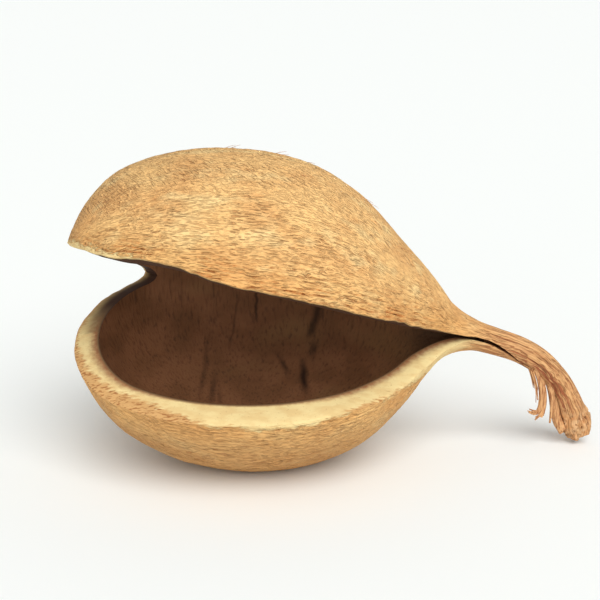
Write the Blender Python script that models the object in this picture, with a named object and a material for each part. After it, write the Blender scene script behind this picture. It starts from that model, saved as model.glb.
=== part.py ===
"""A dried Buddha nut pod, the woody follicle of a large tropical tree.

The pod lies on its side. It has split along the seam that faces -Y, from the stem round the beak to the
far side, and its two valves gape there but stay joined along the back. Both valves run together into a neck
and a fibrous stem, which bends down to the surface. The whole pod grew as one piece, so it is one solid.

The form is a row of elliptical rings from the beak to the stem's end. Two planes through one line cut the
mouth out of them, and the wall is what lies between the rings and a smaller set of rings inside.
Lengths are in millimetres until the mesh is made, and angles are in degrees. Round a ring, 0 faces -Y,
90 is the top and 180 the back.
"""

from typing import NamedTuple

import bmesh
import bpy
import numpy as np
from mathutils import Vector, noise

MM = 0.001

POD = "buddha_nut_pod"


class Ring(NamedTuple):
    """One ring of the pod: its centre, half sizes and lean, and the hollow's ring that belongs to it."""

    x: float
    y: float
    z: float
    height: float
    depth: float
    lean: float
    hollow_x: float
    hollow_height: float
    hollow_depth: float


# Beak, belly, shoulder, neck, then the stem down to its broken end.
RINGS = np.array(
    [
        Ring(-78.0, 2.0, 59.2, 0.0, 0.0, 0.0, -69.3, 0.0, 0.0),
        Ring(-74.0, 2.0, 58.6, 22.2, 20.0, 0.0, -66.0, 18.9, 17.0),
        Ring(-61.0, 2.0, 56.3, 41.2, 36.5, 0.0, -55.3, 34.6, 31.0),
        Ring(-41.0, 2.0, 54.2, 50.9, 46.0, 0.0, -38.5, 42.6, 38.0),
        Ring(-20.0, 2.0, 52.6, 53.5, 49.0, 0.0, -20.0, 44.8, 40.5),
        Ring(1.0, 2.5, 51.2, 50.8, 47.5, 0.0, -1.4, 42.4, 39.3),
        Ring(19.0, 3.5, 49.2, 42.3, 41.0, 0.0, 14.2, 34.9, 33.7),
        Ring(33.0, 4.5, 46.6, 28.9, 29.0, 2.0, 28.0, 22.8, 22.6),
        Ring(43.0, 5.5, 45.6, 17.2, 16.5, 6.0, 38.0, 12.2, 11.6),
        Ring(50.0, 6.3, 44.2, 9.0, 9.4, 12.0, 46.5, 5.2, 5.6),
        Ring(58.0, 7.0, 42.5, 5.4, 6.0, 17.0, 56.0, 1.8, 2.0),
        Ring(66.0, 8.3, 39.8, 4.7, 5.2, 22.0, 65.0, 0.6, 0.6),
        Ring(75.0, 10.0, 36.2, 4.5, 5.0, 30.0, 75.0, 0.3, 0.3),
        Ring(82.5, 11.5, 31.4, 4.4, 4.9, 41.0, 82.5, 0.0, 0.0),
        Ring(88.7, 13.0, 24.8, 4.3, 4.8, 54.0, 88.7, 0.0, 0.0),
        Ring(92.8, 14.0, 17.5, 4.7, 5.0, 63.0, 92.8, 0.0, 0.0),
        Ring(95.4, 14.8, 11.1, 5.6, 5.5, 71.0, 95.4, 0.0, 0.0),
        Ring(96.9, 15.3, 4.9, 4.9, 5.0, 78.0, 96.9, 0.0, 0.0),
        Ring(97.2, 15.5, 2.2, 3.0, 3.2, 83.0, 97.2, 0.0, 0.0),
        Ring(97.4, 15.5, 0.9, 0.0, 0.0, 84.0, 97.4, 0.0, 0.0),
    ]
)
LAST = len(RINGS) - 1

# Columns of a ring that hold sizes, which swap signs past the poles.
SIZES = [3, 4, 7, 8]

# Points of the seam, each a place along the rings and an angle round them. Both lip planes hold the line
# from HINGE to MEETING, and the gap behind ends in a round notch before it comes to HINGE.
HINGE = (2.75, 180.2)
NOTCH = 2.28
NOTCH_ROUND = 0.22
MEETING = (10.0, 6.0)
UPPER_LIP = (4.2, 22.4)
LOWER_LIP = (4.2, -26.4)
SLIT_END = (13.0, -78.0)

# Place along the rings where the slit begins to turn down the stem's side.
SLIT_TURNS = 10.5

# How far the upper valve's tip is lifted off its plane, and the lower lip sags below its own before the neck.
TIP_LIFT = 3.0
LIP_SAG = 2.6
SAG_STARTS = (5.0, 7.5)
SAG_ENDS = (10.0, 8.2)

# How many degrees of the near upper lip are worn away behind the beak, and between which places.
LIP_WEAR = 2.0
WEAR_STARTS = (2.0, 2.8)
WEAR_ENDS = (3.8, 3.1)

# The model's origin among the rings: the middle of its length and depth, on the floor.
ORIGIN = np.array([13.26, 3.98, 0.45])

# How far the hollow lies to the back of its rings, which thins the hidden wall there.
HOLLOW_SHIFT = 1.0

# Gap of the slit along the neck, and how far the rim's middle stands out.
SLIT_GAP = 1.3
RIM_CROWN = 0.25

# Places between which the hollow closes into the slit's bottom, and how far before its end the slit
# grows shallow and narrow.
HOLLOW_CLOSES = (9.6, 11.0)
SLIT_SHALLOWS = 1.7
SLIT_NARROWS = 2.0

# Numbers of columns round one valve and of rows along it.
OUTER_COLUMNS = 38
HOLLOW_COLUMNS = 12
RIM_COLUMNS = 2
SHOULDER = 6.0
BEAK_ROWS = 9
BELLY_ROWS = 15
NECK_ROWS = 14
STEM_ROWS = 16

# The skin's wavy ridges, the stem's flutes and the lumps of its broken end.
RIDGE_HEIGHT = 0.9
RIDGE_LENGTH = 17.0
RIDGE_WIDTH = 5.5
FLUTE_DEPTH = 0.7
FLUTES = 9
LUMP_HEIGHT = 1.6
LUMP_SIZE = 3.6

# Share of a valve's width over which the ridges rise from its lips, and the heights above the floor
# between which they rise from the flat spot.
LIP_SHARE = 0.05
SPOT_RISE = (1.0, 4.0)

# Merge distance for corners that lie in one place, in metres.
MERGE = 0.000002

# Fibres split off the stem: the points of each one's middle line and its thickness at root and end.
FIBRES = {
    "hooked_fibre": (
        [(77.5, 10.0, 34.6), (79.9, 8.8, 31.6), (82.1, 8.2, 27.4), (83.5, 8.0, 23.1), (84.0, 8.0, 19.4)]
        + [(83.7, 8.0, 15.8), (82.4, 7.8, 13.7), (80.8, 7.5, 13.7), (79.3, 7.2, 14.5)],
        0.8,
        0.4,
    ),
    "long_fibre": (
        [(79.2, 11.0, 34.1), (81.6, 10.2, 30.2), (83.5, 9.7, 26.2), (84.8, 9.5, 21.8), (85.1, 9.3, 18.2)]
        + [(84.8, 9.0, 15.0), (83.7, 8.6, 12.6), (82.1, 8.4, 12.0)],
        0.8,
        0.4,
    ),
    "broad_fibre": (
        [(82.6, 12.0, 31.2), (84.6, 11.0, 27.2), (86.2, 10.4, 22.3), (86.8, 10.0, 18.0), (86.9, 10.0, 14.3)]
        + [(86.6, 9.8, 11.0)],
        1.1,
        0.5,
    ),
    "thin_fibre": (
        [(77.0, 10.0, 34.0), (79.5, 8.8, 30.2), (81.0, 8.2, 25.6), (81.8, 8.0, 22.4), (82.3, 7.8, 18.8)],
        0.55,
        0.35,
    ),
    "short_fibre": (
        [(76.6, 11.0, 34.2), (79.0, 10.2, 30.4), (80.7, 9.8, 26.5), (81.6, 9.7, 22.8)],
        0.55,
        0.35,
    ),
    "hind_fibre": (
        [(82.4, 13.5, 30.6), (84.4, 14.8, 26.0), (86.0, 15.5, 21.1), (87.0, 15.6, 16.7), (86.8, 15.5, 13.0)]
        + [(86.0, 15.0, 9.8)],
        0.8,
        0.4,
    ),
}


def ring_at(t):
    """Reads the rings at places along them.

    Args:
        t: An array of places, where 0 is the beak's pole and LAST the stem's end.

    Returns:
        An array with one smoothly blended ring per place.
    """
    before = RINGS[1].copy()
    after = RINGS[-2].copy()
    before[SIZES] *= -1.0
    after[SIZES] *= -1.0
    table = np.vstack([before, RINGS, after])
    t = np.clip(np.asarray(t, float), 0.0, LAST)
    i = np.minimum(np.floor(t).astype(int), LAST - 1)
    u = (t - i)[..., None]
    a, b, c, d = table[i], table[i + 1], table[i + 2], table[i + 3]
    ring = 0.5 * (2.0 * b + (c - a) * u + (2.0 * a - 5.0 * b + 4.0 * c - d) * u**2)
    ring = ring + 0.5 * (3.0 * b - a - 3.0 * c + d) * u**3
    ring[..., SIZES] = np.maximum(ring[..., SIZES], 0.0)
    return ring


def on_ring(x, y, z, height, depth, lean, phi):
    """Gives points on leaning ellipses; phi and lean are in degrees."""
    s = np.sin(np.radians(phi))
    c = np.cos(np.radians(phi))
    tilt = np.radians(lean)
    px = x + height * s * np.sin(tilt)
    py = y - depth * c
    pz = z + height * s * np.cos(tilt)
    return np.stack(np.broadcast_arrays(px, py, pz), axis=-1)


def skin_point(t, phi):
    """Gives points of the smooth outside."""
    ring = ring_at(t)
    return on_ring(ring[..., 0], ring[..., 1], ring[..., 2], ring[..., 3], ring[..., 4], ring[..., 5], phi)


def lip_plane(lip):
    """Gives the normal and the distance of the plane through the hinge, the meeting point and a lip."""
    hinge = skin_point(np.array(HINGE[0]), HINGE[1])
    meeting = skin_point(np.array(MEETING[0]), MEETING[1])
    edge = skin_point(np.array(lip[0]), lip[1])
    normal = np.cross(meeting - hinge, edge - hinge)
    normal = normal / np.linalg.norm(normal)
    if normal[2] < 0.0:
        normal = -normal
    return normal, float(normal @ hinge)


UPPER_PLANE = lip_plane(UPPER_LIP)
LOWER_PLANE = lip_plane(LOWER_LIP)


def smooth_step(low, high, value):
    """Rises from 0 at low to 1 at high without corners."""
    u = np.clip((value - low) / (high - low), 0.0, 1.0)
    return u * u * (3.0 - 2.0 * u)


def crossing(side, t):
    """Finds where a lip's plane crosses the rings.

    Args:
        side: 1 for the upper valve, -1 for the lower one.
        t: An array of places along the rings.

    Returns:
        The angle in the middle of the crossing, the half angle to each side, and the cosine of that.
    """
    normal, distance = UPPER_PLANE if side > 0 else LOWER_PLANE
    ring = ring_at(t)
    tilt = np.radians(ring[..., 5])
    if side > 0:
        lift = np.clip((HINGE[0] - t) / HINGE[0], 0.0, 1.0)
        distance = distance + TIP_LIFT * lift**2
    else:
        distance = distance - LIP_SAG * smooth_step(*SAG_STARTS, t) * smooth_step(*SAG_ENDS, t)
    p = -ring[..., 4] * normal[1]
    q = ring[..., 3] * (normal[0] * np.sin(tilt) + normal[2] * np.cos(tilt))
    size = np.maximum(np.hypot(p, q), 1e-9)
    cosine = (distance - ring[..., :3] @ normal) / size
    half = np.degrees(np.arccos(np.clip(cosine, -1.0, 1.0)))
    return np.degrees(np.arctan2(q, p)), half, cosine


def valve_tip(side):
    """Finds the place along the rings where a valve begins."""
    low, high = 0.001, NOTCH
    for _ in range(50):
        middle = 0.5 * (low + high)
        outside = side * crossing(side, np.array(middle))[2] > 1.0
        low, high = (middle, high) if outside else (low, middle)
    return high


def slit_angle(t):
    """Gives the angle of the slit's middle line beyond the meeting point."""
    u = smooth_step(SLIT_TURNS, SLIT_END[0] + 0.4, t)
    return MEETING[1] + (SLIT_END[1] - MEETING[1]) * u


def limits(side, t):
    """Gives the front and the back angle between which a valve's skin lies."""
    middle, half, _ = crossing(side, t)
    other_middle, other_half, _ = crossing(-side, t)
    front = middle - half
    other_front = other_middle - other_half
    ring = ring_at(t)
    open_half = np.where(t < MEETING[0], 0.5 * side * (front - other_front), 0.0)
    centre = np.where(t < MEETING[0], 0.5 * (front + other_front), slit_angle(t))
    gap = SLIT_GAP * smooth_step(SLIT_END[0], SLIT_END[0] - SLIT_NARROWS, t)
    slit_half = np.degrees(gap / 2.0 / np.maximum(ring[..., 4], 1.0))
    opened = centre + side * np.hypot(open_half, slit_half)
    front = np.where(t > MEETING[0] - 2.0, opened, front)
    if side > 0:
        front = front + LIP_WEAR * smooth_step(*WEAR_STARTS, t) * smooth_step(*WEAR_ENDS, t)
    far = middle + half
    other_far = other_middle + other_half
    curve = np.clip((t - NOTCH + NOTCH_ROUND) / NOTCH_ROUND, 0.0, 1.0)
    far = 0.5 * (far + other_far) + 0.5 * (far - other_far) * np.sqrt(1.0 - curve**2)
    hinge = HINGE[1] + (180.0 + slit_angle(t) - HINGE[1]) * smooth_step(NOTCH, MEETING[0], t)
    back = np.where(t < HINGE[0], far, hinge)
    if side < 0:
        back = back - 360.0
    return front, back


def skin_normal(t, phi):
    """Gives the outward normals of the smooth outside, from points a little apart."""
    t = np.clip(t, 0.03, LAST - 0.03)
    along = skin_point(t + 0.02, phi) - skin_point(t - 0.02, phi)
    around = skin_point(t, phi + 1.0) - skin_point(t, phi - 1.0)
    normal = np.cross(along, around)
    length = np.linalg.norm(normal, axis=-1, keepdims=True)
    return normal / np.maximum(length, 1e-12)


def relief(side, t, phi, share):
    """Gives the height of the skin's relief.

    Args:
        side: 1 for the upper valve, -1 for the lower one.
        t: Places along the rings.
        phi: Angles round them.
        share: How far round the valve each point lies, 0 at the front lip and 1 at the back.

    Returns:
        The heights in mm, with wavy ridges on the body, flutes on the stem and lumps at its end.
    """
    point = skin_point(t, phi)
    ring = ring_at(t)
    height = np.zeros(t.shape)
    lip = smooth_step(0.0, LIP_SHARE, share)
    far = smooth_step(0.0, LIP_SHARE, 1.0 - share)
    far = np.maximum(far, smooth_step(NOTCH - 0.1, NOTCH + 0.7, t))
    lip = np.maximum(lip, smooth_step(SLIT_END[0], SLIT_END[0] + 0.7, t))
    spot = smooth_step(*SPOT_RISE, point[..., 2])
    body = spot * lip * far * smooth_step(0.3, 1.2, t) * (1.0 - 0.6 * smooth_step(9.0, 11.0, t))
    flute = smooth_step(9.5, 12.0, t) * (1.0 - 0.5 * smooth_step(15.5, 17.0, t)) * lip
    lump = smooth_step(14.6, 16.5, t) * (1.0 - smooth_step(18.0, 19.0, t))
    for index in np.ndindex(t.shape):
        place = point[index]
        if body[index] > 0.0:
            wave = Vector((place[0] / RIDGE_LENGTH, place[1] / RIDGE_WIDTH, place[2] / RIDGE_WIDTH))
            height[index] -= RIDGE_HEIGHT * body[index] * noise.noise(wave)
        if lump[index] > 0.0:
            height[index] -= LUMP_HEIGHT * lump[index] * noise.noise(Vector(place / LUMP_SIZE))
    wobble = 24.0 * np.sin(0.9 * t) + 10.0 * np.sin(2.3 * t + 1.0)
    angle = np.radians((phi + wobble) * FLUTES / 2.0)
    height -= FLUTE_DEPTH * flute * (1.0 - np.abs(np.sin(angle))) ** 2
    return height * smooth_step(0.0, 0.6, ring[..., 3])


def hollow_point(side, t, share):
    """Gives points of the hollow's surface, which beyond the neck is the bottom of the slit."""
    front, back = limits(side, t)
    ring = ring_at(t)
    closed = smooth_step(*HOLLOW_CLOSES, t)
    front = front + closed * (slit_angle(t) + side * 90.0 - front)
    phi = front + (back - front) * share
    depth = smooth_step(SLIT_END[0], SLIT_END[0] - SLIT_SHALLOWS, t)
    mouth = skin_point(t, slit_angle(t))
    centre = mouth + (ring[..., :3] - mouth) * depth[..., None]
    shift = (ring[..., 6] - ring[..., 0]) * depth
    height = ring[..., 7] * depth
    width = ring[..., 8] * depth
    back = HOLLOW_SHIFT * smooth_step(9.0, 6.0, t) * smooth_step(0.0, 1.5, t)
    x = centre[..., 0] + shift
    y = centre[..., 1] + back
    return on_ring(x, y, centre[..., 2], height, width, ring[..., 5], phi)


def valve_points(side, rows):
    """Gives the closed loops of one valve, a row of points per place along the rings.

    Args:
        side: 1 for the upper valve, -1 for the lower one.
        rows: The places along the rings.

    Returns:
        An array of rows by columns by 3. A loop runs over the skin from front to back, over the far rim,
        back through the hollow and over the front rim to where it started.
    """
    t = np.repeat(rows[:, None], OUTER_COLUMNS + 1, axis=1)
    share = np.repeat(np.linspace(0.0, 1.0, OUTER_COLUMNS + 1)[None, :], len(rows), axis=0)
    front, back = limits(side, t)
    phi = front + (back - front) * share
    skin = skin_point(t, phi) + skin_normal(t, phi) * relief(side, t, phi, share)[..., None]
    t = np.repeat(rows[:, None], HOLLOW_COLUMNS + 1, axis=1)
    share = np.repeat(np.linspace(1.0, 0.0, HOLLOW_COLUMNS + 1)[None, :], len(rows), axis=0)
    hollow = hollow_point(side, t, share)
    steps = np.linspace(0.0, 1.0, RIM_COLUMNS + 2)[1:-1]
    far = [skin[:, -1] + (hollow[:, 0] - skin[:, -1]) * step for step in steps]
    near = [hollow[:, -1] + (skin[:, 0] - hollow[:, -1]) * step for step in steps]
    normal = (UPPER_PLANE if side > 0 else LOWER_PLANE)[0]
    crown = -side * RIM_CROWN * smooth_step(9.0, 7.0, rows)[:, None] * normal
    far_crown = crown * smooth_step(NOTCH, NOTCH - 0.5, rows)[:, None]
    loops = [skin]
    loops += [(point + far_crown)[:, None] for point in far]
    loops += [hollow]
    loops += [(point + crown)[:, None] for point in near]
    loops += [skin[:, :1]]
    return np.concatenate(loops, axis=1)


def rows_of(side):
    """Gives the places of a valve's rows, close together near its tip and at the stem's end."""
    tip = valve_tip(side)
    beak = tip + (NOTCH - tip) * 0.5 * (1.0 - np.cos(np.linspace(0.0, np.pi, BEAK_ROWS + 1)[:-1]))
    belly = np.linspace(NOTCH, SHOULDER, BELLY_ROWS + 1)[:-1]
    neck = np.linspace(SHOULDER, SLIT_END[0], NECK_ROWS + 1)[:-1]
    stem = SLIT_END[0] + (LAST - SLIT_END[0]) * (1.0 - np.linspace(1.0, 0.0, STEM_ROWS + 1) ** 1.35)
    return np.concatenate([beak, belly, neck, stem])


def build_valve(side, name):
    """Makes one valve from a grid whose rows become the valve's loops.

    Args:
        side: 1 for the upper valve, -1 for the lower one.
        name: The name of the new object.

    Returns:
        The object, open along the back where the other valve joins it.
    """
    rows = rows_of(side)
    points = (valve_points(side, rows) - ORIGIN) * MM
    count = points.shape[1]
    bpy.ops.mesh.primitive_grid_add(x_subdivisions=count - 1, y_subdivisions=len(rows) - 1, size=1.0)
    valve = bpy.context.object
    valve.name = name
    valve.data.vertices.foreach_set("co", points.reshape(-1))
    work = bmesh.new()
    work.from_mesh(valve.data)
    work.verts.ensure_lookup_table()
    doomed = []
    skin_end = OUTER_COLUMNS
    hollow_start = OUTER_COLUMNS + RIM_COLUMNS + 1
    for face in work.faces:
        low = min(vertex.index for vertex in face.verts)
        row, column = divmod(low, count)
        joined = rows[row] > NOTCH - 1e-6 and skin_end <= column < hollow_start
        solid = rows[row] > SLIT_END[0] - 1e-6 and column >= skin_end
        if joined or solid:
            doomed.append(face)
    bmesh.ops.delete(work, geom=doomed, context="FACES")
    loose = [vertex for vertex in work.verts if not vertex.link_faces]
    bmesh.ops.delete(work, geom=loose, context="VERTS")
    work.to_mesh(valve.data)
    work.free()
    return valve


def build_pod(collection):
    """Builds both valves and welds them into one closed body."""
    upper = build_valve(1, POD)
    lower = build_valve(-1, "lower_valve")
    bpy.ops.object.select_all(action="DESELECT")
    upper.select_set(True)
    lower.select_set(True)
    bpy.context.view_layer.objects.active = upper
    bpy.ops.object.join()
    pod = bpy.context.object
    bpy.ops.object.mode_set(mode="EDIT")
    bpy.ops.mesh.select_all(action="SELECT")
    bpy.ops.mesh.remove_doubles(threshold=MERGE)
    bpy.ops.mesh.dissolve_degenerate(threshold=MERGE)
    bpy.ops.mesh.select_all(action="SELECT")
    bpy.ops.mesh.normals_make_consistent(inside=False)
    floor = (0.0, 0.0, 0.0)
    down = (0.0, 0.0, -1.0)
    bpy.ops.mesh.bisect(plane_co=floor, plane_no=down, use_fill=True, clear_outer=True, threshold=MERGE / 2.0)
    bpy.ops.object.mode_set(mode="OBJECT")
    pod.name = POD
    pod.data.name = POD
    for face in pod.data.polygons:
        face.use_smooth = True
    for owner in list(pod.users_collection):
        owner.objects.unlink(pod)
    collection.objects.link(pod)
    return pod


def build_fibre(name, collection):
    """Makes one split fibre, a thin tube that is sunk into the stem at its root.

    Args:
        name: A key of FIBRES.
        collection: The collection for the new object.

    """
    points, root, end = FIBRES[name]
    curve = bpy.data.curves.new(name, "CURVE")
    curve.dimensions = "3D"
    curve.bevel_depth = MM
    curve.bevel_resolution = 1
    curve.use_fill_caps = True
    curve.resolution_u = 2
    spline = curve.splines.new("NURBS")
    spline.points.add(len(points) - 1)
    for index, point in enumerate(points):
        share = index / (len(points) - 1)
        place = (np.array(point) - ORIGIN) * MM
        spline.points[index].co = (*place, 1.0)
        spline.points[index].radius = root + (end - root) * share**2
    spline.order_u = 3
    spline.use_endpoint_u = True
    drawn = bpy.data.objects.new(name + "_line", curve)
    collection.objects.link(drawn)
    bpy.context.view_layer.update()
    mesh = bpy.data.meshes.new_from_object(drawn.evaluated_get(bpy.context.evaluated_depsgraph_get()))
    work = bmesh.new()
    work.from_mesh(mesh)
    bmesh.ops.remove_doubles(work, verts=work.verts[:], dist=MERGE)
    work.to_mesh(mesh)
    work.free()
    fibre = bpy.data.objects.new(name, mesh)
    fibre.matrix_world = drawn.matrix_world
    collection.objects.link(fibre)
    bpy.data.objects.remove(drawn, do_unlink=True)
    fibre.hide_render = True
    fibre.display_type = "WIRE"


def fuse(pod, fibres):
    """Fuses a collection's objects into the pod with one union, and removes them."""
    union = pod.modifiers.new("fibres", "BOOLEAN")
    union.operation = "UNION"
    union.solver = "EXACT"
    union.operand_type = "COLLECTION"
    union.collection = fibres
    bpy.ops.object.select_all(action="DESELECT")
    pod.select_set(True)
    bpy.context.view_layer.objects.active = pod
    bpy.ops.object.modifier_apply(modifier=union.name)
    for fibre in list(fibres.objects):
        bpy.data.objects.remove(fibre, do_unlink=True)


def make_material(name, colour, roughness):
    """Makes a plain material for the library."""
    material = bpy.data.materials.new(name)
    material.use_nodes = True
    shader = material.node_tree.nodes["Principled BSDF"]
    shader.inputs["Base Color"].default_value = (*colour, 1.0)
    shader.inputs["Roughness"].default_value = roughness
    return material


def main():
    """Clears the scene and builds the pod."""
    for old in list(bpy.data.objects):
        bpy.data.objects.remove(old, do_unlink=True)
    collection = bpy.data.collections.new(POD)
    bpy.context.scene.collection.children.link(collection)
    fibres = bpy.data.collections.new("fused_in")
    bpy.context.scene.collection.children.link(fibres)
    pod = build_pod(collection)
    for name in FIBRES:
        build_fibre(name, fibres)
    fuse(pod, fibres)
    pod.data.materials.append(make_material("husk", (0.72, 0.47, 0.22), 0.75))


main()
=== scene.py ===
"""The looks of a dried Buddha nut pod, lying open on a pale floor.

The pod grew as one piece, and its CAD model is one solid. Here three finer meshes of the same form stand for
it: the upper valve, the lower valve and the stem. They carry the wrinkles of the skin, the cut rims, the dark
lining and the stem's fibres. Split fibres hang from the stem, and a few hairs lift off the skin.

The form is a row of elliptical rings from the beak to the stem's end, in millimetres, as in the CAD source.
Round a ring, 0 degrees faces -Y, 90 is the top and 180 the back.
"""

import logging
import math
from dataclasses import dataclass, field
from enum import Enum
from typing import NamedTuple

import bpy
import numpy as np
from bpy.types import Material, Node, NodeSocket, NodeTree, Object
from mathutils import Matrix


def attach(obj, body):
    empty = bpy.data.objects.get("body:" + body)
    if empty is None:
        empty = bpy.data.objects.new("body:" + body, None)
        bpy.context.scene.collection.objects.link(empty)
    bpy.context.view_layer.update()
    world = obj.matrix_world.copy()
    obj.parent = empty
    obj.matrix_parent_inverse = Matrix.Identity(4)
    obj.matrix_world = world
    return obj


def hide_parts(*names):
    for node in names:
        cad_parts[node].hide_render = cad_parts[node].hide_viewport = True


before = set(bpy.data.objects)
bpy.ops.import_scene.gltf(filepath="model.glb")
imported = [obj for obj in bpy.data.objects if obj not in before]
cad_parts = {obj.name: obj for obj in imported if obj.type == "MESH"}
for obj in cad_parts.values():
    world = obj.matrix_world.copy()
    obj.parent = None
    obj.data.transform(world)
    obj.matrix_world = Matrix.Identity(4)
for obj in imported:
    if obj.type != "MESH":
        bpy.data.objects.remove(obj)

Array = np.ndarray
Pair = tuple[float, float]
Triple = tuple[float, float, float]
Colour = tuple[float, float, float, float]

MM = 0.001
MERGE_DISTANCE = 0.0000005
LOFT_CREASE = math.radians(75.0)
STRAND_CREASE = math.radians(60.0)
NODE = "buddha_nut_pod"
BODY = "root"

LOG = logging.getLogger("pod")


class Side(Enum):
    """The two valves, by which way their lips' planes open."""

    UPPER = 1
    LOWER = -1


class Zone(Enum):
    """The surfaces of a valve, by the place of their material on the piece."""

    SKIN = 0
    RIM = 1
    LINING = 2


class Ring(NamedTuple):
    """One ring of the pod: its centre, half sizes and lean, and the hollow's ring that belongs to it."""

    x: float
    y: float
    z: float
    height: float
    depth: float
    lean: float
    hollow_x: float
    hollow_height: float
    hollow_depth: float


# Beak, belly, shoulder, neck, then the stem down to its broken end.
RINGS = np.array(
    [
        Ring(-78.0, 2.0, 59.2, 0.0, 0.0, 0.0, -69.3, 0.0, 0.0),
        Ring(-74.0, 2.0, 58.6, 22.2, 20.0, 0.0, -66.0, 18.9, 17.0),
        Ring(-61.0, 2.0, 56.3, 41.2, 36.5, 0.0, -55.3, 34.6, 31.0),
        Ring(-41.0, 2.0, 54.2, 50.9, 46.0, 0.0, -38.5, 42.6, 38.0),
        Ring(-20.0, 2.0, 52.6, 53.5, 49.0, 0.0, -20.0, 44.8, 40.5),
        Ring(1.0, 2.5, 51.2, 50.8, 47.5, 0.0, -1.4, 42.4, 39.3),
        Ring(19.0, 3.5, 49.2, 42.3, 41.0, 0.0, 14.2, 34.9, 33.7),
        Ring(33.0, 4.5, 46.6, 28.9, 29.0, 2.0, 28.0, 22.8, 22.6),
        Ring(43.0, 5.5, 45.6, 17.2, 16.5, 6.0, 38.0, 12.2, 11.6),
        Ring(50.0, 6.3, 44.2, 9.0, 9.4, 12.0, 46.5, 5.2, 5.6),
        Ring(58.0, 7.0, 42.5, 5.4, 6.0, 17.0, 56.0, 1.8, 2.0),
        Ring(66.0, 8.3, 39.8, 4.7, 5.2, 22.0, 65.0, 0.6, 0.6),
        Ring(75.0, 10.0, 36.2, 4.5, 5.0, 30.0, 75.0, 0.3, 0.3),
        Ring(82.5, 11.5, 31.4, 4.4, 4.9, 41.0, 82.5, 0.0, 0.0),
        Ring(88.7, 13.0, 24.8, 4.3, 4.8, 54.0, 88.7, 0.0, 0.0),
        Ring(92.8, 14.0, 17.5, 4.7, 5.0, 63.0, 92.8, 0.0, 0.0),
        Ring(95.4, 14.8, 11.1, 5.6, 5.5, 71.0, 95.4, 0.0, 0.0),
        Ring(96.9, 15.3, 4.9, 4.9, 5.0, 78.0, 96.9, 0.0, 0.0),
        Ring(97.2, 15.5, 2.2, 3.0, 3.2, 83.0, 97.2, 0.0, 0.0),
        Ring(97.4, 15.5, 0.9, 0.0, 0.0, 84.0, 97.4, 0.0, 0.0),
    ]
)
LAST = len(RINGS) - 1
SIZES = [3, 4, 7, 8]

# Places along the rings, and how far the rims' bare wood reaches over the skin there, in mm.
BARE_WOOD = {
    Side.UPPER: ((0.0, 1.7), (1.9, 1.8), (2.4, 1.0), (2.8, 0.0), (3.0, -9.0)),
    Side.LOWER: (
        (0.0, 0.5), (1.3, -2.5), (1.7, -3.9), (2.25, -4.6), (2.7, -4.1), (3.05, -3.2), (3.3, -2.4),
        (3.5, 0.2), (4.2, 0.8), (5.0, 2.0), (5.5, 1.0), (6.0, -0.6), (6.6, -0.4), (6.95, 0.4),
        (7.3, 1.8), (7.7, 4.0), (8.2, 6.0), (9.0, 6.0), (9.8, 3.5), (10.5, 1.0), (11.0, -2.5),
    ),
}

# What marks in mm say where no edge is near, and deep inside the rims.
FAR_OFF = 99.0
DEEP_IN = -9.0

# Half widths of the pod, in mm, at which lines along it have their stated spacing.
REFERENCE_GIRTHS = (48.0, 24.0, 12.0, 6.0)

# The model's origin among the rings: the middle of its length and depth, on the floor.
ORIGIN = np.array([13.26, 3.98, 0.45])

# How finely the pod's length is measured, whole and for a set of rows.
LENGTH_STEPS = 1901
ROW_STEPS = 2000

# Numbers that scatter the place of a noise cell and the pattern's number into a code of 32 bits.
HASH_AXES = (73856093, 19349663, 83492791)
HASH_SEED = 7919
HASH_ROUNDS = ((15, 2246822519), (13, 3266489917))
HASH_LAST = np.uint64(16)
HASH_MASK = np.uint64(0xFFFFFFFF)


def smooth_step(low: float, high: float, value: Array) -> Array:
    """Rises from 0 at low to 1 at high without corners.

    Args:
        low: Where the rise begins.
        high: Where it ends; it may be less than low.
        value: The numbers to read it at.

    Returns:
        Numbers from 0 to 1.
    """
    u = np.clip((value - low) / (high - low), 0.0, 1.0)
    return u * u * (3.0 - 2.0 * u)


def grain_noise(places: Array, seed: int) -> Array:
    """Gives smooth noise that is the same at every run.

    Args:
        places: An array of points, one noise cell per unit.
        seed: A whole number that picks the pattern.

    Returns:
        Numbers about 0, mostly between -0.7 and 0.7.
    """
    cell = np.floor(places).astype(np.int64)
    part = places - cell
    fade = part**3 * (part * (part * 6.0 - 15.0) + 10.0)
    total = np.zeros(places.shape[:-1])
    for corner in range(8):
        step = np.array([corner & 1, corner >> 1 & 1, corner >> 2 & 1])
        at = (cell + step).astype(np.uint64)
        code = np.uint64(seed * HASH_SEED)
        for axis, factor in enumerate(HASH_AXES):
            code = code ^ at[..., axis] * np.uint64(factor)
        code = code & HASH_MASK
        for shift, factor in HASH_ROUNDS:
            code = (code ^ code >> np.uint64(shift)) * np.uint64(factor) & HASH_MASK
        code = code ^ code >> HASH_LAST
        slope = np.stack([code >> np.uint64(8 * axis) & np.uint64(255) for axis in range(3)], axis=-1)
        slope = slope.astype(float) / 127.5 - 1.0
        weight = np.prod(np.where(step, fade, 1.0 - fade), axis=-1)
        total += weight * (slope * (part - step)).sum(axis=-1)
    return total


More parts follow.
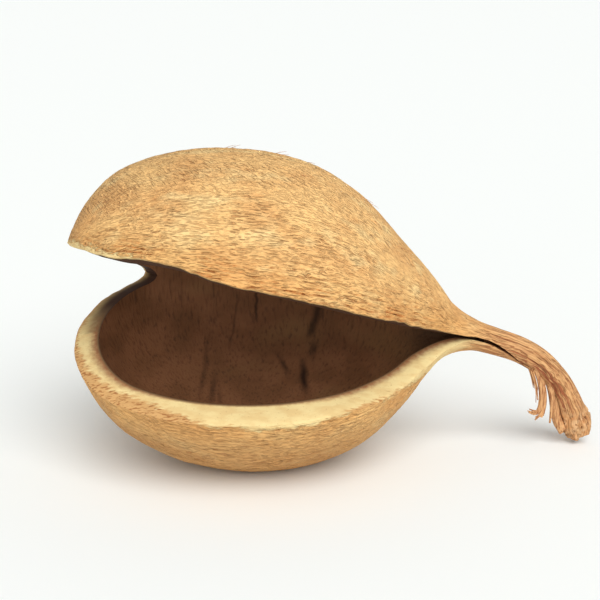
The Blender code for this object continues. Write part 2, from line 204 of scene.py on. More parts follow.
def flow_noise(flow: Array, girth: Array, length: float, spacing: float, seed: int) -> Array:
    """Gives noise that is drawn out along the pod, with even spacing where the pod is wide or thin.

    Args:
        flow: Length along the pod in mm, and the cosine and sine of the angle round it.
        girth: The pod's mean half width in mm.
        length: The noise cells' length in mm.
        spacing: Their width in mm.
        seed: A whole number that picks the pattern.

    Returns:
        Numbers about 0.
    """
    total = np.zeros(girth.shape)
    weights = np.zeros(girth.shape)
    for reference in REFERENCE_GIRTHS:
        octave = np.log2(np.clip(girth, REFERENCE_GIRTHS[-1], REFERENCE_GIRTHS[0]) / reference)
        weight = np.clip(1.0 - np.abs(octave), 0.0, 1.0)
        used = weight > 0.0
        cells = np.array([1.0 / length, reference / spacing, reference / spacing])
        total[used] += weight[used] * grain_noise(flow[used] * cells, seed)
        weights[used] += weight[used]
    return total / weights


@dataclass(frozen=True)
class PodForm:
    """The pod's smooth form: its rings and the seam along which it has split."""

    hinge: Pair = (2.75, 180.2)
    notch: float = 2.28
    notch_round: float = 0.22
    meeting: Pair = (10.0, 6.0)
    upper_lip: Pair = (4.2, 22.4)
    lower_lip: Pair = (4.2, -26.4)
    slit_end: Pair = (13.0, -78.0)
    slit_turns: float = 10.5
    tip_lift: float = 3.0
    lip_sag: float = 2.6
    sag_starts: Pair = (5.0, 7.5)
    sag_ends: Pair = (10.0, 8.2)
    lip_wear: float = 2.0
    wear_starts: Pair = (2.0, 2.8)
    wear_ends: Pair = (3.8, 3.1)
    hollow_closes: Pair = (9.6, 11.0)
    hollow_shift: float = 1.0
    shift_starts: Pair = (0.0, 1.5)
    shift_ends: Pair = (9.0, 6.0)
    slit_gap: float = 1.3
    slit_narrows: float = 2.0
    slit_shallows: float = 1.7
    slit_overrun: float = 0.4
    lips_join: float = 2.0
    pole_margin: float = 0.03
    probe_place: float = 0.02
    probe_angle: float = 1.0

    def ring_at(self, t: Array) -> Array:
        """Reads the rings at places along them.

        Args:
            t: Places, where 0 is the beak's pole and LAST the stem's end.

        Returns:
            One smoothly blended ring per place.
        """
        before = RINGS[1].copy()
        after = RINGS[-2].copy()
        before[SIZES] *= -1.0
        after[SIZES] *= -1.0
        table = np.vstack([before, RINGS, after])
        t = np.clip(np.asarray(t, float), 0.0, LAST)
        i = np.minimum(np.floor(t).astype(int), LAST - 1)
        u = (t - i)[..., None]
        a, b, c, d = table[i], table[i + 1], table[i + 2], table[i + 3]
        ring = 0.5 * (2.0 * b + (c - a) * u + (2.0 * a - 5.0 * b + 4.0 * c - d) * u**2)
        ring = ring + 0.5 * (3.0 * b - a - 3.0 * c + d) * u**3
        ring[..., SIZES] = np.maximum(ring[..., SIZES], 0.0)
        return ring

    def on_ring(self, centre: Array, height: Array, depth: Array, lean: Array, phi: Array) -> Array:
        """Gives points on leaning ellipses.

        Args:
            centre: The ellipses' centres.
            height: Their half heights.
            depth: Their half depths.
            lean: Their lean in degrees.
            phi: The angles of the points in degrees.

        Returns:
            An array of points.
        """
        s = np.sin(np.radians(phi))
        tilt = np.radians(lean)
        x = centre[..., 0] + height * s * np.sin(tilt)
        y = centre[..., 1] - depth * np.cos(np.radians(phi))
        z = centre[..., 2] + height * s * np.cos(tilt)
        return np.stack(np.broadcast_arrays(x, y, z), axis=-1)

    def skin_point(self, t: Array, phi: Array) -> Array:
        """Gives points of the smooth outside."""
        ring = self.ring_at(t)
        return self.on_ring(ring[..., :3], ring[..., 3], ring[..., 4], ring[..., 5], phi)

    def skin_normal(self, t: Array, phi: Array) -> Array:
        """Gives the outward normals of the smooth outside.

        Args:
            t: Places along the rings.
            phi: Angles round them.

        Returns:
            Vectors of length 1.
        """
        t = np.clip(t, self.pole_margin, LAST - self.pole_margin)
        along = self.skin_point(t + self.probe_place, phi) - self.skin_point(t - self.probe_place, phi)
        around = self.skin_point(t, phi + self.probe_angle) - self.skin_point(t, phi - self.probe_angle)
        normal = np.cross(along, around)
        return normal / np.maximum(np.linalg.norm(normal, axis=-1, keepdims=True), 1e-12)

    def lip_plane(self, side: Side) -> tuple[Array, float]:
        """Gives the normal and the distance of a valve's lip plane.

        Args:
            side: The valve.

        Returns:
            The plane's upward normal, and its distance from the rings' origin in mm.
        """
        lip = self.upper_lip if side is Side.UPPER else self.lower_lip
        hinge = self.skin_point(np.array(self.hinge[0]), self.hinge[1])
        meeting = self.skin_point(np.array(self.meeting[0]), self.meeting[1])
        edge = self.skin_point(np.array(lip[0]), lip[1])
        normal = np.cross(meeting - hinge, edge - hinge)
        normal = normal / np.linalg.norm(normal)
        if normal[2] < 0.0:
            normal = -normal
        return normal, float(normal @ hinge)

    def crossing(self, side: Side, t: Array) -> tuple[Array, Array, Array]:
        """Finds where a valve's lip plane crosses the rings.

        Args:
            side: The valve.
            t: Places along the rings.

        Returns:
            The angle in the middle of the crossing, the half angle to each side, and the cosine of that.
        """
        normal, distance = self.lip_plane(side)
        ring = self.ring_at(t)
        tilt = np.radians(ring[..., 5])
        if side is Side.UPPER:
            lift = np.clip((self.hinge[0] - t) / self.hinge[0], 0.0, 1.0)
            distance = distance + self.tip_lift * lift**2
        else:
            sag = smooth_step(*self.sag_starts, t) * smooth_step(*self.sag_ends, t)
            distance = distance - self.lip_sag * sag
        p = -ring[..., 4] * normal[1]
        q = ring[..., 3] * (normal[0] * np.sin(tilt) + normal[2] * np.cos(tilt))
        cosine = (distance - ring[..., :3] @ normal) / np.maximum(np.hypot(p, q), 1e-9)
        half = np.degrees(np.arccos(np.clip(cosine, -1.0, 1.0)))
        return np.degrees(np.arctan2(q, p)), half, cosine

    def valve_tip(self, side: Side) -> float:
        """Finds the place along the rings where a valve begins.

        Args:
            side: The valve.

        Returns:
            The place, to well below a thousandth.
        """
        low, high = 0.001, self.notch
        for _ in range(50):
            middle = 0.5 * (low + high)
            outside = side.value * self.crossing(side, np.array(middle))[2] > 1.0
            low, high = (middle, high) if outside else (low, middle)
        return high

    def slit_angle(self, t: Array) -> Array:
        """Gives the angle of the slit's middle line beyond the meeting point."""
        u = smooth_step(self.slit_turns, self.slit_end[0] + self.slit_overrun, t)
        return self.meeting[1] + (self.slit_end[1] - self.meeting[1]) * u

    def limits(self, side: Side, t: Array) -> tuple[Array, Array]:
        """Gives the front and the back angle between which a valve's skin lies.

        Args:
            side: The valve.
            t: Places along the rings.

        Returns:
            The two angles in degrees.
        """
        other = Side.LOWER if side is Side.UPPER else Side.UPPER
        middle, half, _ = self.crossing(side, t)
        other_middle, other_half, _ = self.crossing(other, t)
        front = middle - half
        other_front = other_middle - other_half
        before = t < self.meeting[0]
        open_half = np.where(before, 0.5 * side.value * (front - other_front), 0.0)
        centre = np.where(before, 0.5 * (front + other_front), self.slit_angle(t))
        gap = self.slit_gap * smooth_step(self.slit_end[0], self.slit_end[0] - self.slit_narrows, t)
        slit_half = np.degrees(gap / 2.0 / np.maximum(self.ring_at(t)[..., 4], 1.0))
        opened = centre + side.value * np.hypot(open_half, slit_half)
        front = np.where(t > self.meeting[0] - self.lips_join, opened, front)
        if side is Side.UPPER:
            worn = smooth_step(*self.wear_starts, t) * smooth_step(*self.wear_ends, t)
            front = front + self.lip_wear * worn
        far = middle + half
        other_far = other_middle + other_half
        curve = np.clip((t - self.notch + self.notch_round) / self.notch_round, 0.0, 1.0)
        far = 0.5 * (far + other_far) + 0.5 * (far - other_far) * np.sqrt(1.0 - curve**2)
        turn = 180.0 + self.slit_angle(t) - self.hinge[1]
        seam = self.hinge[1] + turn * smooth_step(self.notch, self.meeting[0], t)
        back = np.where(t < self.hinge[0], far, seam)
        if side is Side.LOWER:
            back = back - 360.0
        return front, back

    def hollow_point(self, side: Side, t: Array, share: Array) -> Array:
        """Gives points of the hollow, which beyond the neck is the bottom of the slit.

        Args:
            side: The valve.
            t: Places along the rings.
            share: How far each point lies on the way from the front to the back, from 0 to 1.

        Returns:
            An array of points.
        """
        front, back = self.limits(side, t)
        ring = self.ring_at(t)
        closed = smooth_step(*self.hollow_closes, t)
        front = front + closed * (self.slit_angle(t) + side.value * 90.0 - front)
        phi = front + (back - front) * share
        depth = smooth_step(self.slit_end[0], self.slit_end[0] - self.slit_shallows, t)
        mouth = self.skin_point(t, self.slit_angle(t))
        centre = mouth + (ring[..., :3] - mouth) * depth[..., None]
        centre[..., 0] += (ring[..., 6] - ring[..., 0]) * depth
        shift = smooth_step(*self.shift_ends, t) * smooth_step(*self.shift_starts, t)
        centre[..., 1] += self.hollow_shift * shift
        return self.on_ring(centre, ring[..., 7] * depth, ring[..., 8] * depth, ring[..., 5], phi)

    def length_at(self, t: Array) -> Array:
        """Gives the length in mm along the pod from the beak to places along the rings.

        Args:
            t: Places along the rings.

        Returns:
            The lengths.
        """
        fine = np.linspace(0.0, LAST, LENGTH_STEPS)
        ring = self.ring_at(fine)
        line = np.stack([ring[:, 0], ring[:, 1], ring[:, 2], ring[:, 3]], axis=-1)
        steps = np.linalg.norm(np.diff(line, axis=0), axis=-1)
        return np.interp(t, fine, np.concatenate([[0.0], np.cumsum(steps)]))

    def even_rows(self, start: float, end: float, count: int) -> Array:
        """Gives places between two others, evenly apart over the surface, without the last one.

        Args:
            start: The first place.
            end: The place that the row leads to.
            count: How many places to give.

        Returns:
            The places.
        """
        fine = np.linspace(start, end, ROW_STEPS)
        length = self.length_at(fine)
        return np.interp(np.linspace(length[0], length[-1], count + 1)[:-1], length, fine)


class Ripple(NamedTuple):
    """One layer of noise in a relief: its strength, its cells' size in mm and the number of its pattern."""

    strength: float
    cell: Triple | float
    seed: int

    def at(self, point: Array) -> Array:
        """Reads the layer at points."""
        return self.strength * grain_noise(point / np.array(self.cell), self.seed)


def rippled(point: Array, layers: tuple[Ripple, ...]) -> Array:
    """Adds up layers of noise at points."""
    return sum(layer.at(point) for layer in layers)


def bell(t: Array, middle: float, width: float) -> Array:
    """Rises to 1 at a middle place and falls off to both sides over a width."""
    return np.exp(-(((t - middle) / width) ** 2))


@dataclass(frozen=True)
class SkinRelief:
    """The wrinkles of the skin, the strands of the stem and the lumps of its broken end, in mm.

    A pair is the two places or angles between which something rises from nothing to its full strength, or a
    bell's middle place and width.
    """

    form: PodForm
    neck: Pair = (8.6, 11.6)
    swell: float = 0.35
    furrow_depth: float = 0.34
    wrinkle_depth: float = 0.22
    swaying: tuple[Ripple, ...] = (Ripple(2.2, 8.0, 1), Ripple(0.9, 3.0, 2))
    broad: Ripple = Ripple(1.0, (16.0, 8.0, 8.0), 13)
    patchy: Ripple = Ripple(0.6, 5.0, 14)

    slant: float = 42.0
    slant_front: Pair = (48.0, 66.0)
    slant_back: Pair = (150.0, 120.0)
    slant_end: Pair = (9.0, 7.5)
    slant_border: Ripple = Ripple(10.0, 9.0, 20)
    slanted: Ripple = Ripple(1.0, (3.2, 1.15, 1.0), 29)

    lip_ridges: float = 1.9
    lip_reach: float = 6.0
    ridges_start: Pair = (0.5, 2.5)
    ridges_end: Pair = (9.0, 7.0)
    lower_share: float = 0.3
    layer: float = 1.8
    layer_waves: tuple[Ripple, ...] = (Ripple(2.2, (10.0, 8.0, 8.0), 18), Ripple(0.7, 3.2, 19))
    layer_breaks: Ripple = Ripple(1.0, (11.0, 3.5, 3.5), 16)

    strands: float = 9.0
    strand_depth: float = 0.75
    strand_turn: float = 1.6
    strand_origin: float = 150.0
    strand_waves: Ripple = Ripple(26.0, (24.0, 9.0, 16.0), 21)
    strand_breaks: Ripple = Ripple(1.0, (16.0, 4.0, 12.0), 22)
    fibres: float = 44.0
    fibre_depth: float = 0.16
    fibre_waves: Ripple = Ripple(7.0, (8.0, 3.0, 6.0), 23)
    fibre_breaks: Ripple = Ripple(1.0, (9.0, 1.6, 6.0), 24)

    knob: Pair = (14.9, 16.3)
    knob_sink: float = 0.9
    knob_lobe: float = 1.1
    lobe: Pair = (16.6, 0.6)
    lobe_turn: float = 10.0
    lumps: tuple[Ripple, ...] = (Ripple(1.9, 6.5, 25), Ripple(0.5, 2.6, 26))
    rough: Ripple = Ripple(0.16, 0.9, 27)
    scar: Pair = (16.45, 0.34)
    scar_turn: float = 25.0
    pit_depth: float = 1.3
    pitted: Ripple = Ripple(1.0, (1.3, 1.3, 1.9), 28)
    chip_depth: float = 1.5
    chips_start: Pair = (16.9, 17.5)
    chipped: Ripple = Ripple(1.0, 3.4, 30)

    def flow_at(self, t: Array, phi: Array, sway: Array | float = 0.0) -> tuple[Array, Array]:
        """Gives places along and round the pod.

        Args:
            t: Places along the rings.
            phi: Angles round them.
            sway: How far to the side each place is read, in mm.

        Returns:
            Length, cosine and sine for each point, and the pod's mean half width there.
        """
        ring = self.form.ring_at(t)
        girth = np.maximum(0.5 * (ring[..., 3] + ring[..., 4]), 1.0)
        turn = np.radians(phi) + sway / girth
        length = self.form.length_at(t)
        return np.stack(np.broadcast_arrays(length, np.cos(turn), np.sin(turn)), axis=-1), girth

    def slant_at(self, t: Array, phi: Array) -> tuple[Array, Array]:
        """Gives places along and across lines that lean towards the front, as over the pod's top.

        Args:
            t: Places along the rings.
            phi: Angles round them.

        Returns:
            The places in mm with a zero third axis, and how far these lines stand for those along the pod.
        """
        _, girth = self.flow_at(t, phi)
        along = self.form.length_at(t)
        around = girth * np.radians(phi)
        lean = math.radians(self.slant)
        down = along * math.cos(lean) - around * math.sin(lean)
        over = along * math.sin(lean) + around * math.cos(lean)
        share = smooth_step(*self.slant_front, phi + self.slant_border.at(self.form.skin_point(t, phi)))
        share = share * smooth_step(*self.slant_back, phi) * smooth_step(*self.slant_end, t)
        return np.stack(np.broadcast_arrays(down, over, 0.0), axis=-1), share

    def body(self, side: Side, t: Array, phi: Array, lip_distance: Array) -> tuple[Array, Array]:
        """Gives the relief of the valves' skin.

        Args:
            side: The valve; the layered ridges along its lip are strong on the upper one.
            t: Places along the rings.
            phi: Angles round them.
            lip_distance: Their distances from the lips in mm.

        Returns:
            Heights in mm and how dark each point is, from 0 to 1: in a furrow, or in painted shade under the
            lip's ridges.
        """
        point = self.form.skin_point(t, phi)
        sway = rippled(point, self.swaying)
        flow, girth = self.flow_at(t, phi, sway)
        broad = self.broad.at(point)
        patch = smooth_step(-0.3, 0.3, broad + self.patchy.at(point))
        leaning, top = self.slant_at(t, phi)
        slanted = self.slanted.at(leaning + (sway / 3.0)[..., None])
        straight = flow_noise(flow, girth, length=4.2, spacing=1.15, seed=11)
        main = smooth_step(-0.08, -0.4, straight * (1.0 - top) + slanted * top)
        wrinkles = flow_noise(flow, girth, length=2.6, spacing=0.8, seed=12)
        layers = (lip_distance + rippled(point, self.layer_waves)) / self.layer
        saw = layers - np.floor(layers)
        near = np.exp(-np.maximum(lip_distance, 0.0) / self.lip_reach)
        near = near * (1.0 if side is Side.UPPER else self.lower_share)
        near = near * smooth_step(*self.ridges_start, t) * smooth_step(*self.ridges_end, t)
        near = near * smooth_step(-0.3, 0.1, self.layer_breaks.at(point))
        ridge = np.sqrt(saw) * smooth_step(1.0, 0.72, saw)
        gully = smooth_step(0.62, 0.86, saw) + smooth_step(0.16, 0.0, saw)
        height = self.swell * broad - self.furrow_depth * main * (0.4 + 0.6 * patch)
        height = height + self.wrinkle_depth * wrinkles + self.lip_ridges * near * (ridge - 0.6)
        # The gullies' dark near the lip is painted shade under the layered ridges. The furrows' dark is the
        # skin's own.
        return height, np.clip(0.3 * main * (0.3 + 0.7 * patch) + 1.3 * gully * near, 0.0, 1.0)

    def stem(self, t: Array, phi: Array) -> tuple[Array, Array]:
        """Gives the relief of the stem, with results as for the body.

        Args:
            t: Places along the rings.
            phi: Angles round them.

        Returns:
            Heights in mm and how far each point lies in a furrow, from 0 to 1.
        """
        point = self.form.skin_point(t, phi)
        knob = self.knob_at(t)
        length = self.form.length_at(t) - self.strand_origin
        turn = phi + self.strand_turn * length + self.strand_waves.at(point)
        rope = np.abs(np.sin(np.radians(turn) * self.strands / 2.0))
        vary = smooth_step(-0.35, 0.3, self.strand_breaks.at(point))
        valley = (1.0 - np.sqrt(rope)) * (0.25 + 0.75 * vary) * (1.0 - 0.75 * knob)
        turn = turn + self.fibre_waves.at(point)
        fine = np.abs(np.sin(np.radians(turn) * self.fibres / 2.0))
        small = (1.0 - fine) ** 2 * smooth_step(-0.4, 0.2, self.fibre_breaks.at(point)) * (1.0 - 0.7 * knob)
        facing = smooth_step(-0.2, 0.7, np.cos(np.radians(phi - self.scar_turn)))
        band = bell(t, *self.scar) * facing
        pits = smooth_step(-0.04, -0.3, self.pitted.at(point)) * band
        upward = np.clip(np.sin(np.radians(phi - self.lobe_turn)), 0.0, 1.0) ** 2
        lobe = self.knob_lobe * bell(t, *self.lobe) * upward
        chips = self.chip_depth * (smooth_step(-0.1, 0.1, self.chipped.at(point)) - 0.75)
        chips = chips * smooth_step(*self.chips_start, t)
        lump = rippled(point, self.lumps) + self.rough.at(point)
        height = -self.strand_depth * valley - self.fibre_depth * small + knob * (lump - self.knob_sink)
        height = height + lobe + 0.5 * band * facing - self.pit_depth * pits + chips
        dark = smooth_step(0.45, 0.8, valley) * (0.4 + 0.6 * vary) + 0.35 * small + 0.8 * pits
        return height * smooth_step(LAST, LAST - 0.5, t), np.clip(dark, 0.0, 1.0)

    def knob_at(self, t: Array) -> Array:
        """Tells how far places belong to the stem's broken end, from 0 to 1."""
        return smooth_step(*self.knob, t)

    def stemward(self, t: Array) -> Array:
        """Tells how far places belong to the stem, 0 on the body and 1 beyond the neck."""
        return smooth_step(*self.neck, t)

    def both(self, side: Side, t: Array, phi: Array, lip_distance: Array) -> tuple[Array, Array]:
        """Gives the relief anywhere on the outside, the body's blending into the stem's at the neck.

        Args:
            side: The valve.
            t: Places along the rings.
            phi: Angles round them.
            lip_distance: Their distances from the lips in mm.

        Returns:
            Heights in mm and how dark each point is, from 0 to 1: in a furrow, or in painted shade under the
            lip's ridges.
        """
        share = self.stemward(t)
        body_height, body_dark = self.body(side, t, phi, lip_distance)
        stem_height, stem_dark = self.stem(t, phi)
        above_floor = self.form.skin_point(t, phi)[..., 2] - ORIGIN[2]
        calm = 0.1 + 0.9 * smooth_step(0.2, 2.5, above_floor)
        height = body_height * calm * (1.0 - share) + stem_height * share
        return height, body_dark * (1.0 - share) + stem_dark * share


def across(column: Array, count: int) -> Array:
    """Repeats values, one per row, over a number of columns."""
    return np.repeat(column.reshape(len(column), 1), count, axis=1)


def between(start: Array, end: Array, steps: Array) -> list[Array]:
    """Gives columns of points that lead from one column to another."""
    return [(start + (end - start) * step)[:, None] for step in steps]


def inner_steps(count: int) -> Array:
    """Gives a number of even steps between 0 and 1, without these two."""
    return np.linspace(0.0, 1.0, count + 2)[1:-1]


def pick_only(*pieces: Object) -> None:
    """Selects pieces and nothing else.

    Args:
        pieces: The pieces; the first becomes the active one.
    """
    bpy.ops.object.select_all(action="DESELECT")
    for piece in pieces:
        piece.select_set(True)
    bpy.context.view_layer.objects.active = pieces[0]


def settle(piece: Object) -> None:
    """Puts a piece into the frame in the CAD node's stead.

    Args:
        piece: The piece.
    """
    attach(piece, BODY)
    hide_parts(NODE)
    LOG.info("%s: %d faces", piece.name, len(piece.data.polygons))


@dataclass
class LoftPiece:
    """A piece of the pod that is lofted from a grid, with marks that its materials read."""

    name: str
    form: PodForm
    relief: SkinRelief
    marks: dict[str, Array] = field(default_factory=dict)

    def make_grid(self, points: Array) -> Object:
        """Adds a grid and moves its corners to the given points.

        Args:
            points: Rows of points in mm among the rings.

        Returns:
            The new object, whose place is in its mesh.
        """
        rows, columns, _ = points.shape
        bpy.ops.object.select_all(action="DESELECT")
        bpy.ops.mesh.primitive_grid_add(x_subdivisions=columns - 1, y_subdivisions=rows - 1, size=1.0)
        piece = bpy.context.object
        piece.name = self.name
        piece.data.name = self.name
        placed = (points - ORIGIN) * MM
        placed[..., 2] = np.maximum(placed[..., 2], 0.0)
        piece.data.vertices.foreach_set("co", placed.reshape(-1))
        for name, values in self.marks.items():
            kind, key = ("FLOAT_VECTOR", "vector") if values.ndim == 3 else ("FLOAT", "value")
            mark = piece.data.attributes.new(name, kind, "POINT")
            mark.data.foreach_set(key, values.reshape(-1).astype(np.float32))
        return piece

    def close(self, piece: Object) -> None:
        """Merges the loops' ends, fills the open end and turns the faces outwards.

        Args:
            piece: The grid; not used, as the edits work on the active object.
        """
        bpy.ops.object.mode_set(mode="EDIT")
        bpy.ops.mesh.select_all(action="SELECT")
        bpy.ops.mesh.remove_doubles(threshold=MERGE_DISTANCE)
        bpy.ops.mesh.dissolve_degenerate(threshold=MERGE_DISTANCE)
        bpy.ops.mesh.select_all(action="DESELECT")
        others = {"use_multi_face": False, "use_non_contiguous": False, "use_verts": False}
        bpy.ops.mesh.select_non_manifold(extend=False, **others)
        bpy.ops.mesh.fill()
        bpy.ops.mesh.select_all(action="SELECT")
        bpy.ops.mesh.normals_make_consistent(inside=False)
        bpy.ops.mesh.select_all(action="DESELECT")
        bpy.ops.object.mode_set(mode="OBJECT")
        bpy.ops.object.shade_smooth_by_angle(angle=LOFT_CREASE)


@dataclass
class Valve(LoftPiece):
    """One valve of the pod, with its skin, its cut rim and its lining."""

    side: Side = Side.UPPER
    skin_columns: int = 400
    hollow_columns: int = 56
    rim_columns: int = 7
    tip_rows: int = 12
    tip_reach: float = 0.16
    beak_rows: int = 46
    body_rows: int = 142
    end: float = 11.05
    end_overlap: float = 0.12
    end_sink: float = 0.25
    crown: float = 0.7
    edge_round: float = 1.2
    rim_fade: Pair = (9.5, 7.5)
    lip_wave: float = 0.75
    wave_reach: float = 2.0
    wave_start: Pair = (0.0, 1.0)
    wave_end: Pair = (9.0, 8.0)
    lip_ripples: tuple[Ripple, ...] = (Ripple(1.0, 7.0, 41), Ripple(0.6, 2.6, 42))
    # Where painted shade begins on the lower valve's far rim and on the upper valve's near rim, and the width
    # in mm of the upper valve's far rim's brown line, wide enough to cover it.
    far_line: float = 42.0
    far_start: Pair = (0.5, 1.3)
    shade_start: Pair = (1.3, 1.9)

    def rows(self) -> Array:
        """Gives the places of the rows, close together near the tip.

        Returns:
            Places along the rings.
        """
        tip = self.form.valve_tip(self.side)
        start = tip + self.tip_reach
        first = tip + (start - tip) * (np.arange(self.tip_rows) / self.tip_rows) ** 2
        beak = self.form.even_rows(start, self.form.notch, self.beak_rows)
        body = self.form.even_rows(self.form.notch, self.end, self.body_rows)
        return np.concatenate([first, beak, body, [self.end]])

    def points(self) -> Array:
        """Gives the closed loops of the valve and sets its marks.

        Returns:
            Rows of points. A loop runs over the skin from front to back, over the far rim, back through the
            hollow and over the front rim to where it started.
        """
        form = self.form
        rows = self.rows()
        t = across(rows, self.skin_columns + 1)
        share = np.tile(np.linspace(0.0, 1.0, self.skin_columns + 1), (len(rows), 1))
        front, back = form.limits(self.side, t)
        phi = front + (back - front) * share
        ring = form.ring_at(t)
        reach = np.radians(np.abs(back - front)) * 0.5 * (ring[..., 3] + ring[..., 4])
        behind = np.where(t < form.notch, reach * (1.0 - share), FAR_OFF)
        lip_distance = np.minimum(reach * share, behind)
        height, dark = self.relief.both(self.side, t, phi, lip_distance)
        calm = 0.25 + 0.75 * smooth_step(0.0, self.edge_round, lip_distance)
        sink = self.end_sink * smooth_step(self.end - self.end_overlap, self.end, t)
        skin = form.skin_point(t, phi) + form.skin_normal(t, phi) * (height * calm - sink)[..., None]
        skin = skin + self.lip_waves(skin, lip_distance, rows)[..., None] * form.lip_plane(self.side)[0]
        step = np.linspace(1.0, 0.0, self.hollow_columns + 1)
        step = 0.6 * step + 0.4 * (0.5 - 0.5 * np.cos(np.pi * step))
        hollow_t = across(rows, self.hollow_columns + 1)
        hollow = form.hollow_point(self.side, hollow_t, np.tile(step, (len(rows), 1)))
        fade = smooth_step(*self.rim_fade, rows)[:, None]
        far_fade = fade * smooth_step(form.notch, form.notch - 0.5, rows)[:, None]
        far_rim = self.rim(skin[:, -1], hollow[:, 0], far_fade)
        near_rim = self.rim(skin[:, 0], hollow[:, -1], fade)
        far_width = np.linalg.norm(skin[:, -1] - hollow[:, 0], axis=-1)[:, None]
        near_width = np.linalg.norm(skin[:, 0] - hollow[:, -1], axis=-1)[:, None]
        self.set_marks(t, phi, dark)
        self.set_rim_marks(rows[:, None], lip_distance, far_width, near_width)
        loops = [skin] + far_rim + [hollow] + near_rim[::-1] + [skin[:, :1]]
        return np.concatenate(loops, axis=1)

    def rim(self, outside: Array, inside: Array, fade: Array) -> list[Array]:
        """Gives a rim's columns, which bulge a little except where they fade.

        Args:
            outside: The rim's outer edge, one point per row.
            inside: Its inner edge.
            fade: How far it bulges in each row, from 0 to 1.

        Returns:
            The columns from outside to inside.
        """
        steps = inner_steps(self.rim_columns)
        plane = self.form.lip_plane(self.side)[0]
        bulges = -self.side.value * self.crown * (1.0 - (1.0 - steps) ** 4 - steps)
        columns = between(outside, inside, steps)
        return [column + (bulge * fade * plane)[:, None] for column, bulge in zip(columns, bulges)]

    def lip_waves(self, skin: Array, lip_distance: Array, rows: Array) -> Array:
        """Gives the small waves of the lips across their plane, which fade out over the skin.

        Args:
            skin: The skin's points.
            lip_distance: Their distances from the lips in mm.
            rows: The places of the rows along the rings.

        Returns:
            Heights in mm.
        """
        open_lip = (smooth_step(*self.wave_end, rows) * smooth_step(*self.wave_start, rows))[:, None]
        fading = np.exp(-np.maximum(lip_distance, 0.0) / self.wave_reach)
        return self.lip_wave * rippled(skin, self.lip_ripples) * open_lip * fading

    def set_marks(self, t: Array, phi: Array, dark: Array) -> None:
        """Sets what the materials read of the pod's form.

        Args:
            t: Places of the skin's points along the rings.
            phi: Their angles.
            dark: How dark each is, in a furrow or in painted shade under the lip's ridges.
        """
        rest = 2 * self.rim_columns + self.hollow_columns + 2
        flow, girth = self.relief.flow_at(t, phi)
        slant, top = self.relief.slant_at(t, phi)
        far_rim = np.repeat(flow[:, -1:], self.rim_columns, axis=1)
        near_rim = np.repeat(flow[:, :1], self.rim_columns, axis=1)
        lining = flow[:, np.linspace(self.skin_columns, 0, self.hollow_columns + 1).astype(int)]
        self.marks["furrow"] = np.concatenate([dark, np.zeros((len(t), rest - 1)), dark[:, :1]], axis=1)
        self.marks["flow"] = np.concatenate([flow, far_rim, lining, near_rim, flow[:, :1]], axis=1)
        self.marks["stemward"] = across(self.relief.stemward(t[:, 0]), t.shape[1] + rest)
        for name, values in (("slant", slant), ("top", top), ("girth", girth)):
            self.marks[name] = np.concatenate([values] + [values[:, :1]] * rest, axis=1)

    def set_rim_marks(self, rows: Array, lip_distance: Array, far_width: Array, near_width: Array) -> None:
        """Sets what the materials read of the lips.

        The mark edge is the distance to the rims' outer edge in mm, which is less than 0 on the rims. The
        mark inner is the distance to their inner edge as shares of the brown line's width. The mark far is 1
        on the rims that lie in shade, which the material paints there. The mark reach says how far bare wood
        goes over the skin in mm.

        Args:
            rows: The places of the rows along the rings.
            lip_distance: The skin's distances from the lips in mm.
            far_width: The far rim's width in mm, one per row.
            near_width: The near rim's width in mm, one per row.
        """
        out = np.tile(inner_steps(self.rim_columns), (len(rows), 1))
        back = out[:, ::-1]
        lining = np.zeros((len(rows), self.hollow_columns + 1))
        skin = 0.0 * lip_distance
        last = 0.0 * rows
        # The brown line is the inner edge's own colour. Near the beak it widens as painted shade of the
        # rounded inner lip, and on the far rim near the notch as painted shade.
        line = 1.1 + 2.1 * smooth_step(3.2, 1.2, rows) + 1.6 * smooth_step(4.4, 6.5, rows)
        far_line = np.maximum(line, 4.0 * smooth_step(3.6, 2.6, rows))
        far = smooth_step(*self.far_start, rows)
        near = last
        # The upper valve's rims lie in shade under its lip, and that shade is painted: the far rim wholly and
        # the near rim past the beak, each with a brown line that covers it.
        if self.side is Side.UPPER:
            far = last + 1.0
            near = smooth_step(*self.shade_start, rows)
            line = 0.8 + 40.0 * near
            far_line = self.far_line
        edge = [lip_distance, -out * far_width, lining + DEEP_IN, -back * near_width, last]
        inner = [skin + FAR_OFF, (1.0 - out) * far_width / far_line, lining, (1.0 - back) * near_width / line]
        inner.append(last + FAR_OFF)
        shade = [skin, far + 0.0 * out, lining + 1.0, near + 0.0 * out, last]
        for name, parts in (("edge", edge), ("inner", inner), ("far", shade)):
            self.marks[name] = np.concatenate(parts, axis=1)
        reach = np.interp(rows, *zip(*BARE_WOOD[self.side]))
        self.marks["reach"] = across(reach, self.marks["edge"].shape[1])

    def dress(self, piece: Object, materials: dict[Zone, Material]) -> None:
        """Gives each face the material of its zone, by its column.

        Args:
            piece: The valve's grid, before any edit.
            materials: The material for each zone.
        """
        for zone in Zone:
            piece.data.materials.append(materials[zone])
        columns = self.skin_columns + 2 * self.rim_columns + self.hollow_columns + 2
        column = np.arange(len(piece.data.polygons)) % columns
        zones = np.full(len(column), Zone.RIM.value)
        zones[column < self.skin_columns] = Zone.SKIN.value
        start = self.skin_columns + self.rim_columns + 1
        zones[(column >= start) & (column < start + self.hollow_columns)] = Zone.LINING.value
        piece.data.polygons.foreach_set("material_index", zones.astype(np.int32))

    def build(self, materials: dict[Zone, Material]) -> None:
        """Builds the valve and puts it in its place.

        Args:
            materials: The material for each zone.
        """
        piece = self.make_grid(self.points())
        self.dress(piece, materials)
        self.close(piece)
        settle(piece)


